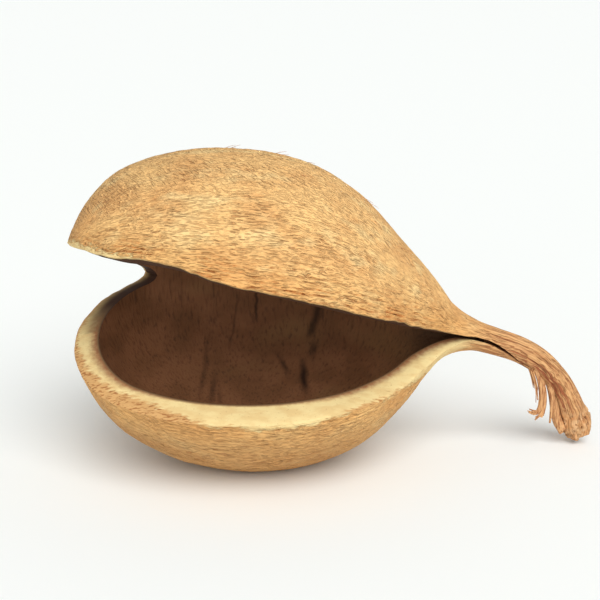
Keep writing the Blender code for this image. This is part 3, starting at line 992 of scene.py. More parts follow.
@dataclass
class Stem(LoftPiece):
    """The stem from inside the neck to its broken end, with the end of the slit."""

    start: float = 10.75
    start_overlap: float = 0.22
    start_sink: float = 0.3
    skin_columns: int = 220
    wall_columns: int = 4
    floor_columns: int = 4
    slit_rows: int = 80
    stem_rows: int = 300
    edge_round: float = 0.8

    def points(self) -> Array:
        """Gives the closed loops of the stem and sets its marks.

        Returns:
            Rows of points. A loop runs round the skin from one edge of the slit to the other, and then
            down into the slit and up again.
        """
        form = self.form
        slit_end = form.slit_end[0]
        slit = form.even_rows(self.start, slit_end, self.slit_rows)
        stem = form.even_rows(slit_end, LAST - 0.02, self.stem_rows)
        rows = np.concatenate([slit, stem, [LAST]])
        t = across(rows, self.skin_columns + 1)
        share = np.tile(np.linspace(0.0, 1.0, self.skin_columns + 1), (len(rows), 1))
        upper, _ = form.limits(Side.UPPER, t)
        lower, _ = form.limits(Side.LOWER, t)
        phi = upper + (lower + 360.0 - upper) * share
        height, dark = self.relief.both(Side.UPPER, t, phi, FAR_OFF + 0.0 * t)
        around = np.minimum(share, 1.0 - share) * 2.0 * np.pi * form.ring_at(t)[..., 4]
        calm = np.maximum(smooth_step(0.0, self.edge_round, around), smooth_step(slit_end, slit_end + 0.6, t))
        sink = self.start_sink * smooth_step(self.start + self.start_overlap, self.start, t)
        skin = form.skin_point(t, phi) + form.skin_normal(t, phi) * (height * calm - sink)[..., None]
        bottom = self.slit_bottom(rows)
        closed = rows > slit_end - 1e-6
        bottom[closed] = skin[closed, :1]
        skin[closed, -1] = skin[closed, 0]
        steps = inner_steps(self.wall_columns)
        down = between(skin[:, -1], bottom[:, 0], steps)
        up = between(bottom[:, -1], skin[:, 0], steps)
        inside = 2 * self.wall_columns + bottom.shape[1]
        width = skin.shape[1] + inside + 1
        flow, girth = self.relief.flow_at(t, phi)
        # Inside the slit the mark furrow is 1, so its walls and floor take the stem's deepest brown: the
        # lining's own dark together with painted shade of the deep slit.
        self.marks["furrow"] = np.concatenate([dark, np.ones((len(rows), inside)), dark[:, :1]], axis=1)
        self.marks["edge"] = np.full((len(rows), width), FAR_OFF)
        self.marks["reach"] = np.full((len(rows), width), DEEP_IN)
        self.marks["stemward"] = across(self.relief.stemward(rows), width)
        self.marks["knob"] = across(self.relief.knob_at(rows), width)
        for name, values in (("flow", flow), ("girth", girth)):
            self.marks[name] = np.concatenate([values] + [values[:, :1]] * (inside + 1), axis=1)
        return np.concatenate([skin] + down + [bottom] + up + [skin[:, :1]], axis=1)

    def slit_bottom(self, rows: Array) -> Array:
        """Gives the points of the slit's bottom, from the lower valve's side to the upper one's.

        Args:
            rows: The places of the rows along the rings.

        Returns:
            Rows of points.
        """
        half = np.tile(np.linspace(1.0, 0.0, self.floor_columns // 2 + 1), (len(rows), 1))
        t = across(rows, half.shape[1])
        below = self.form.hollow_point(Side.LOWER, t, 1.0 - half)
        above = self.form.hollow_point(Side.UPPER, t[:, 1:], half[:, 1:])
        return np.concatenate([below, above], axis=1)

    def build(self, material: Material) -> None:
        """Builds the stem and puts it in its place.

        Args:
            material: The stem's material.
        """
        piece = self.make_grid(self.points())
        piece.data.materials.append(material)
        self.close(piece)
        settle(piece)


class Strand(NamedTuple):
    """One loose strand: its half widths in mm at root and end, and the points of its middle line."""

    root: float
    end: float
    points: tuple[Triple, ...]


@dataclass(frozen=True)
class Hairs:
    """Fine stray hairs that stand a little off the upper valve's skin."""

    form: PodForm
    count: int = 26
    seed: int = 9
    thickness: float = 0.09
    points: int = 5
    places: Pair = (1.6, 7.5)
    shares: Pair = (0.12, 0.75)
    lengths: Pair = (0.1, 0.22)
    turns: Pair = (-3.5, 3.5)
    lifts: Pair = (1.0, 2.1)
    root_depth: float = 0.3
    droop: float = 0.5

    def strands(self) -> list[Strand]:
        """Gives the hairs, each with its root sunk into the skin.

        Returns:
            The hairs.
        """
        random = np.random.default_rng(self.seed)
        steps = np.linspace(0.0, 1.0, self.points)
        found = []
        for _ in range(self.count):
            t = float(random.uniform(*self.places))
            front, back = (float(angle) for angle in self.form.limits(Side.UPPER, np.array(t)))
            phi = front + (back - front) * float(random.uniform(*self.shares))
            places = t + float(random.uniform(*self.lengths)) * steps
            angles = phi + float(random.uniform(*self.turns)) * steps
            lift = -self.root_depth + float(random.uniform(*self.lifts)) * steps - self.droop * steps**2
            points = self.form.skin_point(places, angles)
            points = points + self.form.skin_normal(places, angles) * lift[:, None]
            found.append(Strand(self.thickness, 0.4 * self.thickness, tuple(map(tuple, points.tolist()))))
        return found


@dataclass(frozen=True)
class StrandSet:
    """Loose strands that are drawn as curves and joined into one mesh.

    Each may have thinner companions, which spread around it by some mm.
    """

    name: str
    strands: list[Strand]
    sides: int = 8
    companions: int = 0
    spread: float = 0.55
    bend: float = 0.18
    thinner: Pair = (0.45, 0.75)
    seed: int = 4

    def all_strands(self) -> list[Strand]:
        """Gives the strands with their companions, which run beside them and end sooner or later.

        Returns:
            All strands.
        """
        random = np.random.default_rng(self.seed)
        found = list(self.strands)
        for strand in self.strands:
            for _ in range(self.companions):
                line = np.array(strand.points)
                share = np.linspace(0.0, 1.0, len(line))[:, None]
                line = line + random.normal(0.0, self.spread, 3) * (0.35 + 0.65 * share)
                line = line + random.normal(0.0, self.bend, line.shape) * share
                keep = max(len(line) - int(random.integers(0, 3)), 4)
                thin = float(random.uniform(*self.thinner))
                points = tuple(map(tuple, line[:keep].tolist()))
                found.append(Strand(strand.root * thin, strand.end * thin, points))
        return found

    def draw(self, strand: Strand, index: int) -> Object:
        """Draws one strand as a closed, tapered mesh.

        Args:
            strand: The strand.
            index: Its number, for its name.

        Returns:
            The new object.
        """
        curve = bpy.data.curves.new(f"{self.name}_{index}", "CURVE")
        curve.dimensions = "3D"
        curve.bevel_depth = MM
        curve.bevel_resolution = self.sides // 2 - 2
        curve.use_fill_caps = True
        curve.resolution_u = 5
        spline = curve.splines.new("NURBS")
        spline.points.add(len(strand.points) - 1)
        for place, point in enumerate(strand.points):
            share = place / (len(strand.points) - 1)
            spline.points[place].co = (*((np.array(point) - ORIGIN) * MM), 1.0)
            spline.points[place].radius = strand.root + (strand.end - strand.root) * share**1.5
        spline.order_u = 3
        spline.use_endpoint_u = True
        drawn = bpy.data.objects.new(curve.name, curve)
        bpy.context.collection.objects.link(drawn)
        pick_only(drawn)
        bpy.ops.object.convert(target="MESH")
        return bpy.context.object

    def build(self, material: Material) -> None:
        """Builds the strands as one piece and puts it in its place.

        Args:
            material: The strands' material.
        """
        pick_only(*[self.draw(strand, index) for index, strand in enumerate(self.all_strands())])
        bpy.ops.object.join()
        piece = bpy.context.object
        piece.name = self.name
        piece.data.name = self.name
        bpy.ops.object.mode_set(mode="EDIT")
        bpy.ops.mesh.select_all(action="SELECT")
        bpy.ops.mesh.remove_doubles(threshold=MERGE_DISTANCE)
        bpy.ops.mesh.normals_make_consistent(inside=False)
        bpy.ops.mesh.select_all(action="DESELECT")
        bpy.ops.object.mode_set(mode="OBJECT")
        bpy.ops.object.shade_smooth_by_angle(angle=STRAND_CREASE)
        piece.data.materials.clear()
        piece.data.materials.append(material)
        settle(piece)


# The fibres that have split off the stem, which hang and curl under its bend.
FRAYED = [
    Strand(0.9, 0.3, (
        (77.5, 10.0, 34.6), (79.6, 8.8, 31.6), (81.5, 8.2, 27.4), (82.7, 8.0, 23.1), (83.1, 8.0, 19.4),
        (82.9, 8.0, 15.8), (81.9, 7.8, 13.8), (80.3, 7.5, 13.7), (78.8, 7.2, 14.5),
    )),
    Strand(0.9, 0.4, (
        (79.0, 11.0, 34.1), (81.0, 10.2, 30.2), (82.7, 9.7, 26.2), (83.8, 9.5, 21.8), (84.0, 9.3, 18.2),
        (83.7, 9.0, 15.0), (82.9, 8.6, 12.6), (81.4, 8.4, 12.0),
    )),
    Strand(1.1, 0.5, (
        (82.8, 12.0, 31.2), (84.9, 11.0, 27.2), (86.5, 10.4, 22.3), (87.2, 10.0, 18.0), (87.2, 10.0, 14.3),
        (87.0, 9.8, 11.6),
    )),
    Strand(0.45, 0.2, (
        (77.0, 10.0, 34.0), (79.1, 8.8, 30.2), (80.6, 8.2, 25.6), (81.3, 8.0, 22.4), (81.7, 7.8, 18.8),
    )),
    Strand(0.4, 0.15, (
        (76.6, 11.0, 34.2), (78.6, 10.2, 30.4), (80.2, 9.8, 26.5), (81.0, 9.7, 22.8),
    )),
    Strand(1.9, 1.5, (
        (84.0, 12.5, 31.0), (86.4, 12.5, 25.0), (87.9, 12.5, 20.0), (88.6, 12.5, 15.5), (89.2, 12.5, 11.5),
        (90.4, 12.5, 8.5), (92.0, 12.5, 6.2),
    )),
]


def linear(red: int, green: int, blue: int) -> Colour:
    """Turns a colour as a screen shows it into the one that light needs."""
    parts = [(value / 255.0 + 0.055) / 1.055 for value in (red, green, blue)]
    return (*[part**2.4 for part in parts], 1.0)


@dataclass
class Graph:
    """A node tree that is being built, with short ways to add its nodes."""

    tree: NodeTree

    def node(self, kind: str, inputs: dict[int | str, object], **settings: object) -> Node:
        """Adds a node.

        Args:
            kind: The node's type.
            inputs: What goes into its sockets, by their names or places.
            settings: The node's own properties.

        Returns:
            The node.
        """
        node = self.tree.nodes.new(kind)
        for name, value in settings.items():
            setattr(node, name, value)
        for name, value in inputs.items():
            self.feed(node.inputs[name], value)
        return node

    def feed(self, socket: NodeSocket, value: object) -> None:
        """Links a socket to another, or sets its constant value.

        Args:
            socket: The socket.
            value: The other socket, or the value.
        """
        if isinstance(value, NodeSocket):
            self.tree.links.new(value, socket)
        else:
            socket.default_value = value

    def math(self, operation: str, first: object, second: object = 0.0, clamp: bool = False) -> NodeSocket:
        """Calculates with two numbers in the way that operation names."""
        inputs = {0: first, 1: second}
        return self.node("ShaderNodeMath", inputs, operation=operation, use_clamp=clamp).outputs[0]

    def plus(self, first: object, second: object, clamp: bool = False) -> NodeSocket:
        """Adds two numbers."""
        return self.math("ADD", first, second, clamp)

    def minus(self, first: object, second: object) -> NodeSocket:
        """Takes the second number from the first."""
        return self.math("SUBTRACT", first, second)

    def times(self, first: object, second: object) -> NodeSocket:
        """Multiplies two numbers."""
        return self.math("MULTIPLY", first, second)

    def vector(self, operation: str, first: object, second: object) -> NodeSocket:
        """Calculates with two vectors, or with a vector and a scale, in the way that operation names."""
        place = 3 if operation == "SCALE" else 1
        return self.node("ShaderNodeVectorMath", {0: first, place: second}, operation=operation).outputs[0]

    def rise(self, value: object, low: object, high: object) -> NodeSocket:
        """Rises smoothly from 0 at low to 1 at high."""
        inputs = {"Value": value, "From Min": low, "From Max": high}
        return self.node("ShaderNodeMapRange", inputs, interpolation_type="SMOOTHSTEP").outputs["Result"]

    def mix(self, share: object, first: object, second: object) -> NodeSocket:
        """Mixes two colours."""
        return self.node("ShaderNodeMix", {0: share, 6: first, 7: second}, data_type="RGBA").outputs[2]

    def tint(self, colour: object, other: object, mask: object, strength: float) -> NodeSocket:
        """Lays another colour over one where a mask is, as strongly as given."""
        return self.mix(self.times(mask, strength), colour, other)

    def blend(self, share: object, first: object, second: object) -> NodeSocket:
        """Mixes two numbers."""
        return self.node("ShaderNodeMix", {0: share, 2: first, 3: second}, data_type="FLOAT").outputs[0]

    def place(self) -> NodeSocket:
        """Gives the object's own coordinates in mm."""
        return self.vector("SCALE", self.node("ShaderNodeTexCoord", {}).outputs["Object"], 1.0 / MM)

    def mark(self, name: str, output: str = "Fac") -> NodeSocket:
        """Reads a mark of the mesh."""
        return self.node("ShaderNodeAttribute", {}, attribute_name=name).outputs[output]

    def noise(self, place: object, cell: Triple, detail: float, output: str = "Fac") -> NodeSocket:
        """Gives noise with cells of a size in mm."""
        inputs = {"Vector": self.vector("DIVIDE", place, cell), "Scale": 1.0, "Detail": detail}
        return self.node("ShaderNodeTexNoise", inputs).outputs[output]

    def patches(self, place: object, cell: Triple, detail: float, low: float, high: float) -> NodeSocket:
        """Gives soft patches, where noise rises from one level to another."""
        return self.rise(self.noise(place, cell, detail), low, high)

    def wobble(self, place: object, cell: Triple, detail: float, width: float) -> NodeSocket:
        """Gives noise that swings to both sides of 0 over a width."""
        return self.times(self.minus(self.noise(place, cell, detail), 0.5), width)

    def sway(self, place: object, cell: Triple, width: object) -> NodeSocket:
        """Gives a smooth random shift to all sides over a width."""
        shift = self.vector("SUBTRACT", self.noise(place, cell, 1.0, "Color"), (0.5, 0.5, 0.5))
        return self.vector("SCALE", shift, width)

    def axis(self, place: object, name: str) -> NodeSocket:
        """Gives one axis of a place."""
        return self.node("ShaderNodeSeparateXYZ", {0: place}).outputs[name]

    def group(self, tree: NodeTree, inputs: dict[str, float]) -> bpy.types.bpy_prop_collection:
        """Adds a node group and gives its outputs."""
        return self.node("ShaderNodeGroup", inputs, node_tree=tree).outputs


class StrokeKind(NamedTuple):
    """Strokes of one size, cut from noise.

    They have cells of a length and a spacing in mm. A stroke begins at the level edge and is full at the
    level floor. They sway by some mm, and shift picks their pattern.
    """

    length: float
    spacing: float
    edge: float
    floor: float
    sway: float
    shift: float


@dataclass(frozen=True)
class Strokes:
    """The node group that draws short strokes along the pod, which the skin and the stem share."""

    bend_cell: Triple = (5.0, 4.0, 4.0)
    detail: float = 0.6

    def build(self) -> NodeTree:
        """Makes the group.

        Returns:
            The group, which gives strokes, 1 inside and 0 beside them, and the waves they are cut from.
        """
        tree = bpy.data.node_groups.new("strokes", "ShaderNodeTree")
        for name in StrokeKind._fields:
            tree.interface.new_socket(name, in_out="INPUT", socket_type="NodeSocketFloat")
        for name in ("stroke", "wave"):
            tree.interface.new_socket(name, in_out="OUTPUT", socket_type="NodeSocketFloat")
        graph = Graph(tree)
        given = graph.node("NodeGroupInput", {}).outputs
        flow = graph.mark("flow", "Vector")
        girth = graph.mark("girth")
        bend = graph.sway(graph.place(), self.bend_cell, given["sway"])
        inputs = {"X": given["length"], "Y": given["spacing"], "Z": given["spacing"]}
        cell = graph.node("ShaderNodeCombineXYZ", inputs).outputs[0]
        strokes = 0.0
        waves = 0.0
        for reference in REFERENCE_GIRTHS:
            octave = graph.math("LOGARITHM", graph.math("DIVIDE", girth, reference), 2.0)
            if reference == REFERENCE_GIRTHS[0]:
                octave = graph.math("MINIMUM", octave, 0.0)
            if reference == REFERENCE_GIRTHS[-1]:
                octave = graph.math("MAXIMUM", octave, 0.0)
            weight = graph.math("SUBTRACT", 1.0, graph.math("ABSOLUTE", octave), clamp=True)
            wide = graph.vector("MULTIPLY", flow, (1.0, reference, reference))
            wide = graph.vector("DIVIDE", graph.vector("ADD", wide, bend), cell)
            wave = graph.noise(graph.vector("ADD", wide, given["shift"]), (1.0, 1.0, 1.0), self.detail)
            stroke = graph.rise(wave, given["edge"], given["floor"])
            strokes = graph.plus(strokes, graph.times(stroke, weight))
            waves = graph.plus(waves, graph.times(wave, weight))
        graph.node("NodeGroupOutput", {"stroke": strokes, "wave": waves})
        return tree


@dataclass(frozen=True)
class BareWood:
    """The node group that tells bare wood from skin near the lips, which skin and rims share."""

    half_border: float = 0.9

    def build(self) -> NodeTree:
        """Makes the group, whose output is 1 on bare wood and 0 on skin, with a ragged border.

        Returns:
            The group.
        """
        tree = bpy.data.node_groups.new("bare_wood", "ShaderNodeTree")
        tree.interface.new_socket("bare", in_out="OUTPUT", socket_type="NodeSocketFloat")
        graph = Graph(tree)
        place = graph.place()
        wide = graph.wobble(place, (7.0, 4.0, 4.0), detail=1.0, width=4.5)
        ragged = graph.wobble(place, (2.8, 0.8, 0.8), detail=3.0, width=6.0)
        over = graph.plus(graph.minus(graph.mark("reach"), graph.mark("edge")), graph.plus(wide, ragged))
        graph.node("NodeGroupOutput", {"bare": graph.rise(over, -self.half_border, self.half_border)})
        return tree


# How strongly every surface of the pod mirrors light, where 0.5 is a usual varnish.
SHEEN = 0.25


@dataclass(frozen=True)
class Finish:
    """One surface of the pod: its colours, its roughness and how deep its finest grain is, in mm."""

    name: str
    light: Colour
    middle: Colour
    roughness: float
    grain_depth: float

    def start(self) -> tuple[Material, Graph]:
        """Makes the material with its graph.

        Returns:
            The material and the graph.
        """
        material = bpy.data.materials.new(self.name)
        material.use_nodes = True
        return material, Graph(material.node_tree)

    def surface(self, material: Material, graph: Graph, colour: NodeSocket, height: NodeSocket) -> None:
        """Sets what the shader shows.

        Args:
            material: The material.
            graph: Its graph.
            colour: The surface's colour.
            height: A height from 0 to 1 that bends its normals.
        """
        bump = graph.node("ShaderNodeBump", {"Distance": self.grain_depth * MM, "Height": height})
        values = {"Roughness": self.roughness, "Specular IOR Level": SHEEN, "Base Color": colour}
        values["Normal"] = bump.outputs["Normal"]
        shader = material.node_tree.nodes["Principled BSDF"]
        for name, value in values.items():
            graph.feed(shader.inputs[name], value)


@dataclass(frozen=True)
class RimFinish(Finish):
    """The pale wood of the cut rims, with skin over its ragged outer side, a brown line inside, and painted
    shade on the rims that lie in shadow.
    """

    deep: Colour = linear(172, 126, 84)
    skin: Colour = linear(210, 164, 106)
    furrow: Colour = linear(166, 112, 64)
    brown: Colour = linear(132, 66, 38)
    # The olive and shade colours paint the shade of rims that lie in shadow.
    olive: Colour = linear(186, 158, 106)
    shade: Colour = linear(72, 44, 27)

    def wood(self, graph: Graph, place: NodeSocket) -> NodeSocket:
        """Gives the bare wood's colour.

        Args:
            graph: The material's graph.
            place: The places in mm.

        Returns:
            The colour.
        """
        cloud = graph.patches(place, (6.0, 3.0, 3.0), detail=4.0, low=0.36, high=0.62)
        specks = graph.patches(place, (0.7, 0.7, 0.7), detail=2.0, low=0.64, high=0.74)
        return graph.tint(graph.mix(cloud, self.middle, self.light), self.deep, specks, strength=0.35)

    def build(self, bare: NodeTree) -> Material:
        """Makes the material, which reads the marks inner and far for the rims' brown line and their painted
        shade.

        Args:
            bare: The node group of the bare wood.

        Returns:
            The material.
        """
        material, graph = self.start()
        place = graph.place()
        grain = graph.patches(place, (2.2, 0.6, 0.6), detail=2.0, low=0.36, high=0.52)
        skin = graph.mix(grain, self.furrow, self.skin)
        colour = graph.mix(graph.group(bare, {})[0], skin, self.wood(graph, place))
        inner = graph.mark("inner")
        ragged = graph.plus(inner, graph.wobble(place, (1.6, 1.6, 1.6), detail=3.0, width=0.9))
        colour = graph.tint(colour, self.brown, graph.rise(ragged, 1.5, 0.1), strength=0.9)
        # Painted shade: the rims marked far turn olive and, towards their inner edge, dark.
        far = graph.mark("far")
        colour = graph.tint(colour, self.olive, far, strength=0.8)
        colour = graph.mix(graph.times(far, graph.rise(inner, 2.0, 0.7)), colour, self.shade)
        self.surface(material, graph, colour, graph.noise(place, (1.4, 0.9, 0.9), 4.0))
        return material


@dataclass(frozen=True)
class SkinFinish(Finish):
    """The weathered skin with its short furrows, painted highlights on its ridges and painted shade low down,
    which turns into the bare fibres of the stem.
    """

    deep: Colour = linear(170, 102, 53)
    pale: Colour = linear(254, 226, 162)
    # Painted shade of the skin's lower side.
    painted_underside_shade: Colour = linear(192, 142, 86)
    lipward: Colour = linear(222, 162, 92)
    stem_light: Colour = linear(226, 176, 120)
    stem_middle: Colour = linear(204, 148, 96)
    stem_red: Colour = linear(160, 92, 58)
    stem_deep: Colour = linear(112, 56, 32)
    knob: Colour = linear(222, 178, 130)
    coarse: StrokeKind = StrokeKind(length=3.4, spacing=0.5, edge=0.4, floor=0.27, sway=1.6, shift=0.0)
    fine: StrokeKind = StrokeKind(length=2.3, spacing=0.33, edge=0.46, floor=0.3, sway=1.2, shift=31.0)
    pits: StrokeKind = StrokeKind(length=0.9, spacing=0.6, edge=0.45, floor=0.33, sway=1.2, shift=63.0)
    threads: StrokeKind = StrokeKind(length=11.0, spacing=0.42, edge=0.44, floor=0.34, sway=1.6, shift=11.0)
    bands: StrokeKind = StrokeKind(length=24.0, spacing=1.5, edge=0.5, floor=0.36, sway=2.0, shift=57.0)
    leaning_cell: Triple = (2.9, 0.52, 1.0)

    def grooves(self, graph: Graph, place: NodeSocket, strokes: NodeTree) -> list[NodeSocket]:
        """Draws the skin's strokes, which over the pod's top lean towards the front.

        Args:
            graph: The material's graph.
            place: The places in mm.
            strokes: The node group of the strokes.

        Returns:
            The grooves from 0 to 1, the coarse waves they are cut from and the fine waves.
        """
        kinds = (self.coarse, self.fine, self.pits)
        coarse, fine, pits = [graph.group(strokes, kind._asdict()) for kind in kinds]
        slant = graph.vector("ADD", graph.mark("slant", "Vector"), graph.sway(place, (3.0, 3.0, 3.0), 1.2))
        leaning = graph.noise(slant, self.leaning_cell, 0.6)
        top = graph.mark("top")
        wave = graph.blend(top, coarse["wave"], leaning)
        leaning = graph.rise(leaning, self.coarse.edge, self.coarse.floor)
        patch = graph.patches(place, (12.0, 7.0, 7.0), detail=3.0, low=0.36, high=0.62)
        shown = graph.plus(graph.times(patch, 0.6), 0.4)
        groove = graph.times(graph.blend(top, coarse["stroke"], leaning), shown)
        groove = graph.math("MAXIMUM", groove, graph.times(fine["stroke"], 0.4))
        pitted = graph.patches(place, (12.0, 9.0, 9.0), detail=2.0, low=0.44, high=0.58)
        pitted = graph.times(graph.rise(graph.axis(place, "X"), -42.0, -72.0), pitted)
        groove = graph.math("MAXIMUM", groove, graph.times(pits["stroke"], pitted))
        return [groove, wave, fine["wave"]]

    def skin(self, graph: Graph, place: NodeSocket, strokes: NodeTree) -> tuple[NodeSocket, NodeSocket]:
        """Gives the colour and the height of the body's skin.

        Args:
            graph: The material's graph.
            place: The places in mm.
            strokes: The node group of the strokes.

        Returns:
            The colour and the height.
        """
        groove, wave, fine_wave = self.grooves(graph, place, strokes)
        tone = graph.patches(place, (22.0, 16.0, 16.0), detail=2.0, low=0.36, high=0.62)
        spots = graph.patches(place, (18.0, 7.0, 7.0), detail=2.0, low=0.5, high=0.7)
        # Painted highlight: the wave crests are lighter. The spots are the skin's own pale patches.
        painted_crest_highlight = graph.rise(wave, 0.52, 0.74)
        pale_patches_and_ridge_highlight = graph.plus(graph.times(painted_crest_highlight, 0.16), graph.times(spots, 0.45), clamp=True)
        colour = graph.mix(pale_patches_and_ridge_highlight, graph.mix(tone, self.middle, self.light), self.pale)
        # Painted shade: the skin browns towards the bottom, where less light falls.
        colour = graph.tint(colour, self.painted_underside_shade, graph.rise(graph.axis(place, "Z"), 36.0, 14.0), strength=0.65)
        colour = graph.tint(colour, self.lipward, graph.rise(graph.mark("edge"), 13.0, 1.0), strength=0.45)
        dark = graph.plus(graph.times(groove, 0.54), graph.times(graph.mark("furrow"), 0.5), clamp=True)
        height = graph.minus(graph.plus(graph.times(wave, 2.0), fine_wave), groove)
        return graph.mix(dark, colour, self.deep), height

    def stem(self, graph: Graph, place: NodeSocket, strokes: NodeTree) -> tuple[NodeSocket, NodeSocket]:
        """Gives the colour and the height of the stem's fibres.

        Args:
            graph: The material's graph.
            place: The places in mm.
            strokes: The node group of the strokes.

        Returns:
            The colour and the height.
        """
        threads, bands = [graph.group(strokes, kind._asdict()) for kind in (self.threads, self.bands)]
        below = graph.rise(graph.axis(graph.mark("flow", "Vector"), "Z"), 0.35, -0.35)
        red = graph.times(bands["stroke"], graph.plus(graph.times(below, 0.55), 0.35))
        colour = graph.mix(graph.rise(threads["wave"], 0.4, 0.62), self.stem_middle, self.stem_light)
        colour = graph.mix(graph.plus(red, graph.times(below, 0.22)), colour, self.stem_red)
        colour = graph.tint(colour, self.stem_red, threads["stroke"], strength=0.5)
        mottle = graph.patches(place, (2.2, 2.2, 2.2), detail=4.0, low=0.38, high=0.62)
        knob = graph.mix(mottle, self.stem_middle, self.knob)
        colour = graph.tint(colour, knob, graph.mark("knob"), strength=0.85)
        colour = graph.tint(colour, self.stem_deep, graph.mark("furrow"), strength=0.85)
        return colour, graph.minus(threads["wave"], graph.times(threads["stroke"], 0.6))

    def build(
        self, strokes: NodeTree, bare: NodeTree, rim: RimFinish
    ) -> Material:
        """Makes the material.

        Args:
            strokes: The node group of the strokes.
            bare: The node group of the bare wood.
            rim: The finish of the bare wood.

        Returns:
            The material.
        """
        material, graph = self.start()
        place = graph.place()
        wood = graph.group(bare, {})[0]
        colour, height = self.skin(graph, place, strokes)
        colour = graph.tint(colour, rim.wood(graph, place), wood, strength=0.9)
        height = graph.times(height, graph.minus(1.0, graph.times(wood, 0.7)))
        stemward = graph.mark("stemward")
        stem_colour, stem_height = self.stem(graph, place, strokes)
        colour = graph.mix(stemward, colour, stem_colour)
        height = graph.times(height, graph.minus(1.0, stemward))
        height = graph.plus(height, graph.times(stem_height, stemward))
        self.surface(material, graph, colour, height)
        return material


class Crack(NamedTuple):
    """A soft upright crack of the lining.

    It has a place, a lowest and a highest point and a width in mm, then the depth of its colour from 0 to 1,
    and how far it leans per mm of height.
    """

    x: float
    low: float
    high: float
    width: float
    depth: float
    lean: float


@dataclass(frozen=True)
class LiningFinish(Finish):
    """The dark lining with its fine upright streaks and soft cracks, with painted shade that darkens it
    towards the neck.
    """

    deep: Colour = linear(72, 48, 33)
    olive: Colour = linear(148, 108, 70)
    black: Colour = linear(40, 24, 16)
    cracks: tuple[Crack, ...] = (
        Crack(-29.0, 37.0, 72.0, 0.9, 0.7, -0.04),
        Crack(-9.4, 31.0, 62.0, 2.6, 0.75, 0.24),
        Crack(-38.5, 28.0, 46.0, 0.8, 0.35, 0.16),
        Crack(-9.0, 25.5, 30.0, 2.6, 0.8, 0.3),
        Crack(-11.6, 15.0, 24.0, 2.2, 0.9, -0.1),
        Crack(-17.5, 19.5, 25.0, 1.8, 0.7, -0.6),
        Crack(-45.0, 9.0, 20.0, 2.0, 0.5, 0.1),
        Crack(-41.0, 7.0, 16.0, 1.4, 0.5, -0.1),
        Crack(-49.0, 14.0, 32.0, 1.6, 0.35, 0.15),
    )

    def cracked(self, graph: Graph, place: NodeSocket) -> NodeSocket:
        """Tells how far places lie in a crack, which are only in the back of the hollow.

        Args:
            graph: The material's graph.
            place: The places in mm.

        Returns:
            Numbers from 0 to 1.
        """
        z = graph.axis(place, "Z")
        x = graph.plus(graph.axis(place, "X"), graph.wobble(place, (60.0, 60.0, 9.0), detail=4.0, width=4.0))
        total = 0.0
        for crack in self.cracks:
            middle = graph.plus(graph.times(z, crack.lean), crack.x - crack.low * crack.lean)
            off = graph.math("ABSOLUTE", graph.minus(x, middle))
            mask = graph.times(graph.rise(off, crack.width, 0.0), crack.depth)
            mask = graph.times(mask, graph.rise(z, crack.low - 1.5, crack.low + 3.0))
            mask = graph.times(mask, graph.rise(z, crack.high + 3.0, crack.high - 4.0))
            total = graph.math("MAXIMUM", total, mask)
        return graph.times(total, graph.rise(graph.axis(place, "Y"), 12.0, 20.0))

    def build(self) -> Material:
        """Makes the material.

        Returns:
            The material.
        """
        material, graph = self.start()
        place = graph.place()
        x = graph.axis(place, "X")
        blotch = graph.patches(place, (15.0, 15.0, 9.0), detail=4.0, low=0.36, high=0.64)
        colour = graph.mix(blotch, self.middle, self.light)
        hue = graph.plus(graph.noise(place, (26.0, 26.0, 18.0), 1.0), graph.times(x, 0.004))
        colour = graph.mix(graph.rise(hue, 0.4, 0.62), colour, self.olive)
        streaks = graph.noise(place, (0.9, 0.9, 7.0), 4.0)
        colour = graph.tint(colour, self.deep, graph.rise(streaks, 0.48, 0.74), strength=0.5)
        cracked = self.cracked(graph, place)
        colour = graph.mix(cracked, colour, self.black)
        # Painted shade: the lining darkens towards the neck, where the hollow narrows into shadow.
        colour = graph.tint(colour, self.deep, graph.rise(x, 18.0, 31.0), strength=0.75)
        self.surface(material, graph, colour, graph.minus(streaks, cracked))
        return material


@dataclass(frozen=True)
class FibreFinish(Finish):
    """The loose fibres and hairs."""

    def build(self) -> Material:
        """Makes the material.

        Returns:
            The material.
        """
        material, graph = self.start()
        streak = graph.noise(graph.place(), (0.35, 0.35, 5.0), 2.0)
        colour = graph.mix(graph.rise(streak, 0.36, 0.6), self.middle, self.light)
        self.surface(material, graph, colour, streak)
        return material


SKIN = SkinFinish("pod skin", linear(247, 199, 131), linear(233, 179, 114), 0.8, 0.55)
RIM = RimFinish("rim wood", linear(236, 212, 152), linear(227, 197, 137), 0.75, 0.12)
LINING = LiningFinish("dark lining", linear(152, 104, 70), linear(132, 90, 58), 0.75, 0.3)
FIBRE = FibreFinish("loose fibre", linear(216, 166, 114), linear(156, 98, 62), 0.7, 0.25)


class Sun(NamedTuple):
    """A soft sun: its turn in degrees, its strength, and the angle in degrees over which it is spread."""

    name: str
    turn: Triple
    strength: float
    angle: float


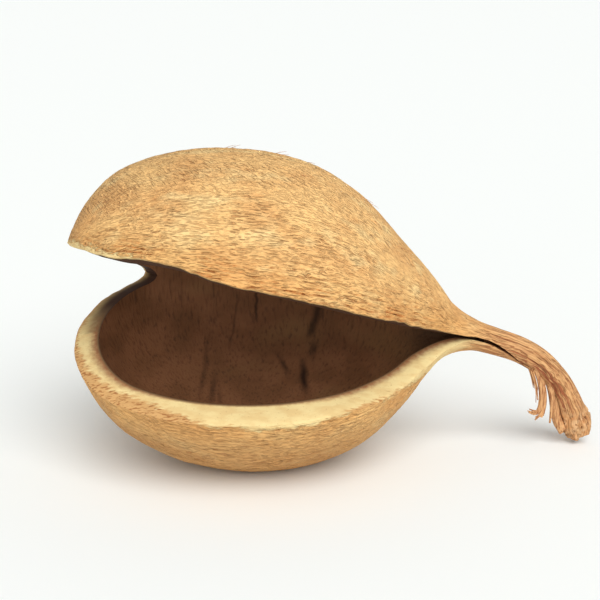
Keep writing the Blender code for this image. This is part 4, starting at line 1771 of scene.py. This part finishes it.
@dataclass(frozen=True)
class Studio:
    """The pale floor, the soft lights and the camera."""

    elevation: float = 16.0
    distance: float = 420.0
    focal_pixels: float = 1272.7
    frame_pixels: int = 600
    sensor: float = 36.0
    target: Triple = (0.0, 0.0, 55.0)
    rise_pixels: float = 5.0
    near_clip: float = 0.01
    floor_size: float = 12.0
    floor_colour: Colour = (0.94, 0.965, 0.945, 1.0)
    floor_roughness: float = 0.9
    suns: tuple[Sun, ...] = (
        Sun("key_light", turn=(42.0, 12.0, 8.0), strength=2.2, angle=48.0),
        Sun("front_light", turn=(74.0, 0.0, -12.0), strength=0.5, angle=50.0),
    )
    surrounding: float = 0.49

    def build(self) -> None:
        """Builds the floor, the lights and the camera."""
        self.add_floor()
        self.add_lights()
        self.add_camera()
        bpy.context.scene.view_settings.view_transform = "Standard"
        LOG.info("floor, %d lights and camera", len(self.suns))

    def add_floor(self) -> None:
        """Adds the floor."""
        bpy.ops.object.select_all(action="DESELECT")
        bpy.ops.mesh.primitive_plane_add(size=self.floor_size, location=(0.0, 0.0, 0.0))
        floor = bpy.context.object
        floor.name = "floor"
        paper = bpy.data.materials.new("floor paper")
        paper.use_nodes = True
        shader = paper.node_tree.nodes["Principled BSDF"]
        shader.inputs["Base Color"].default_value = self.floor_colour
        shader.inputs["Roughness"].default_value = self.floor_roughness
        floor.data.materials.append(paper)

    def add_lights(self) -> None:
        """Adds a key light from above on the front right, a weak one on the front left, and white around."""
        for sun in self.suns:
            bpy.ops.object.light_add(type="SUN", rotation=tuple(math.radians(angle) for angle in sun.turn))
            light = bpy.context.object
            light.name = sun.name
            light.data.energy = sun.strength
            light.data.angle = math.radians(sun.angle)
        world = bpy.context.scene.world or bpy.data.worlds.new("studio")
        bpy.context.scene.world = world
        world.use_nodes = True
        background = world.node_tree.nodes["Background"]
        background.inputs["Color"].default_value = (1.0, 1.0, 1.0, 1.0)
        background.inputs["Strength"].default_value = self.surrounding

    def add_camera(self) -> None:
        """Adds the camera at the photograph's angle."""
        tilt = math.radians(self.elevation)
        target = np.array(self.target) - ORIGIN
        back = np.array([0.0, -math.cos(tilt), math.sin(tilt)])
        place = (target + back * self.distance) * MM
        bpy.ops.object.camera_add(location=tuple(place), rotation=(math.radians(90.0) - tilt, 0.0, 0.0))
        camera = bpy.context.object
        camera.name = "camera"
        camera.data.sensor_width = self.sensor
        camera.data.lens = self.focal_pixels * self.sensor / self.frame_pixels
        camera.data.shift_y = self.rise_pixels / self.frame_pixels
        camera.data.clip_start = self.near_clip
        bpy.context.scene.camera = camera


def main() -> None:
    """Builds every piece of the scene in order."""
    logging.basicConfig(level=logging.INFO, format="%(name)s: %(message)s")
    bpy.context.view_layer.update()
    form = PodForm()
    relief = SkinRelief(form)
    bare = BareWood().build()
    skin = SKIN.build(Strokes().build(), bare, RIM)
    zones = {Zone.SKIN: skin, Zone.RIM: RIM.build(bare), Zone.LINING: LINING.build()}
    Valve("upper_valve", form, relief, side=Side.UPPER).build(zones)
    Valve("lower_valve", form, relief, side=Side.LOWER).build(zones)
    Stem("stem", form, relief).build(skin)
    fibre = FIBRE.build()
    StrandSet("frayed_fibres", FRAYED, companions=5).build(fibre)
    StrandSet("stray_hairs", Hairs(form).strands(), sides=6).build(fibre)
    Studio().build()
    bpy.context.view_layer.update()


if __name__ == "__main__":
    main()
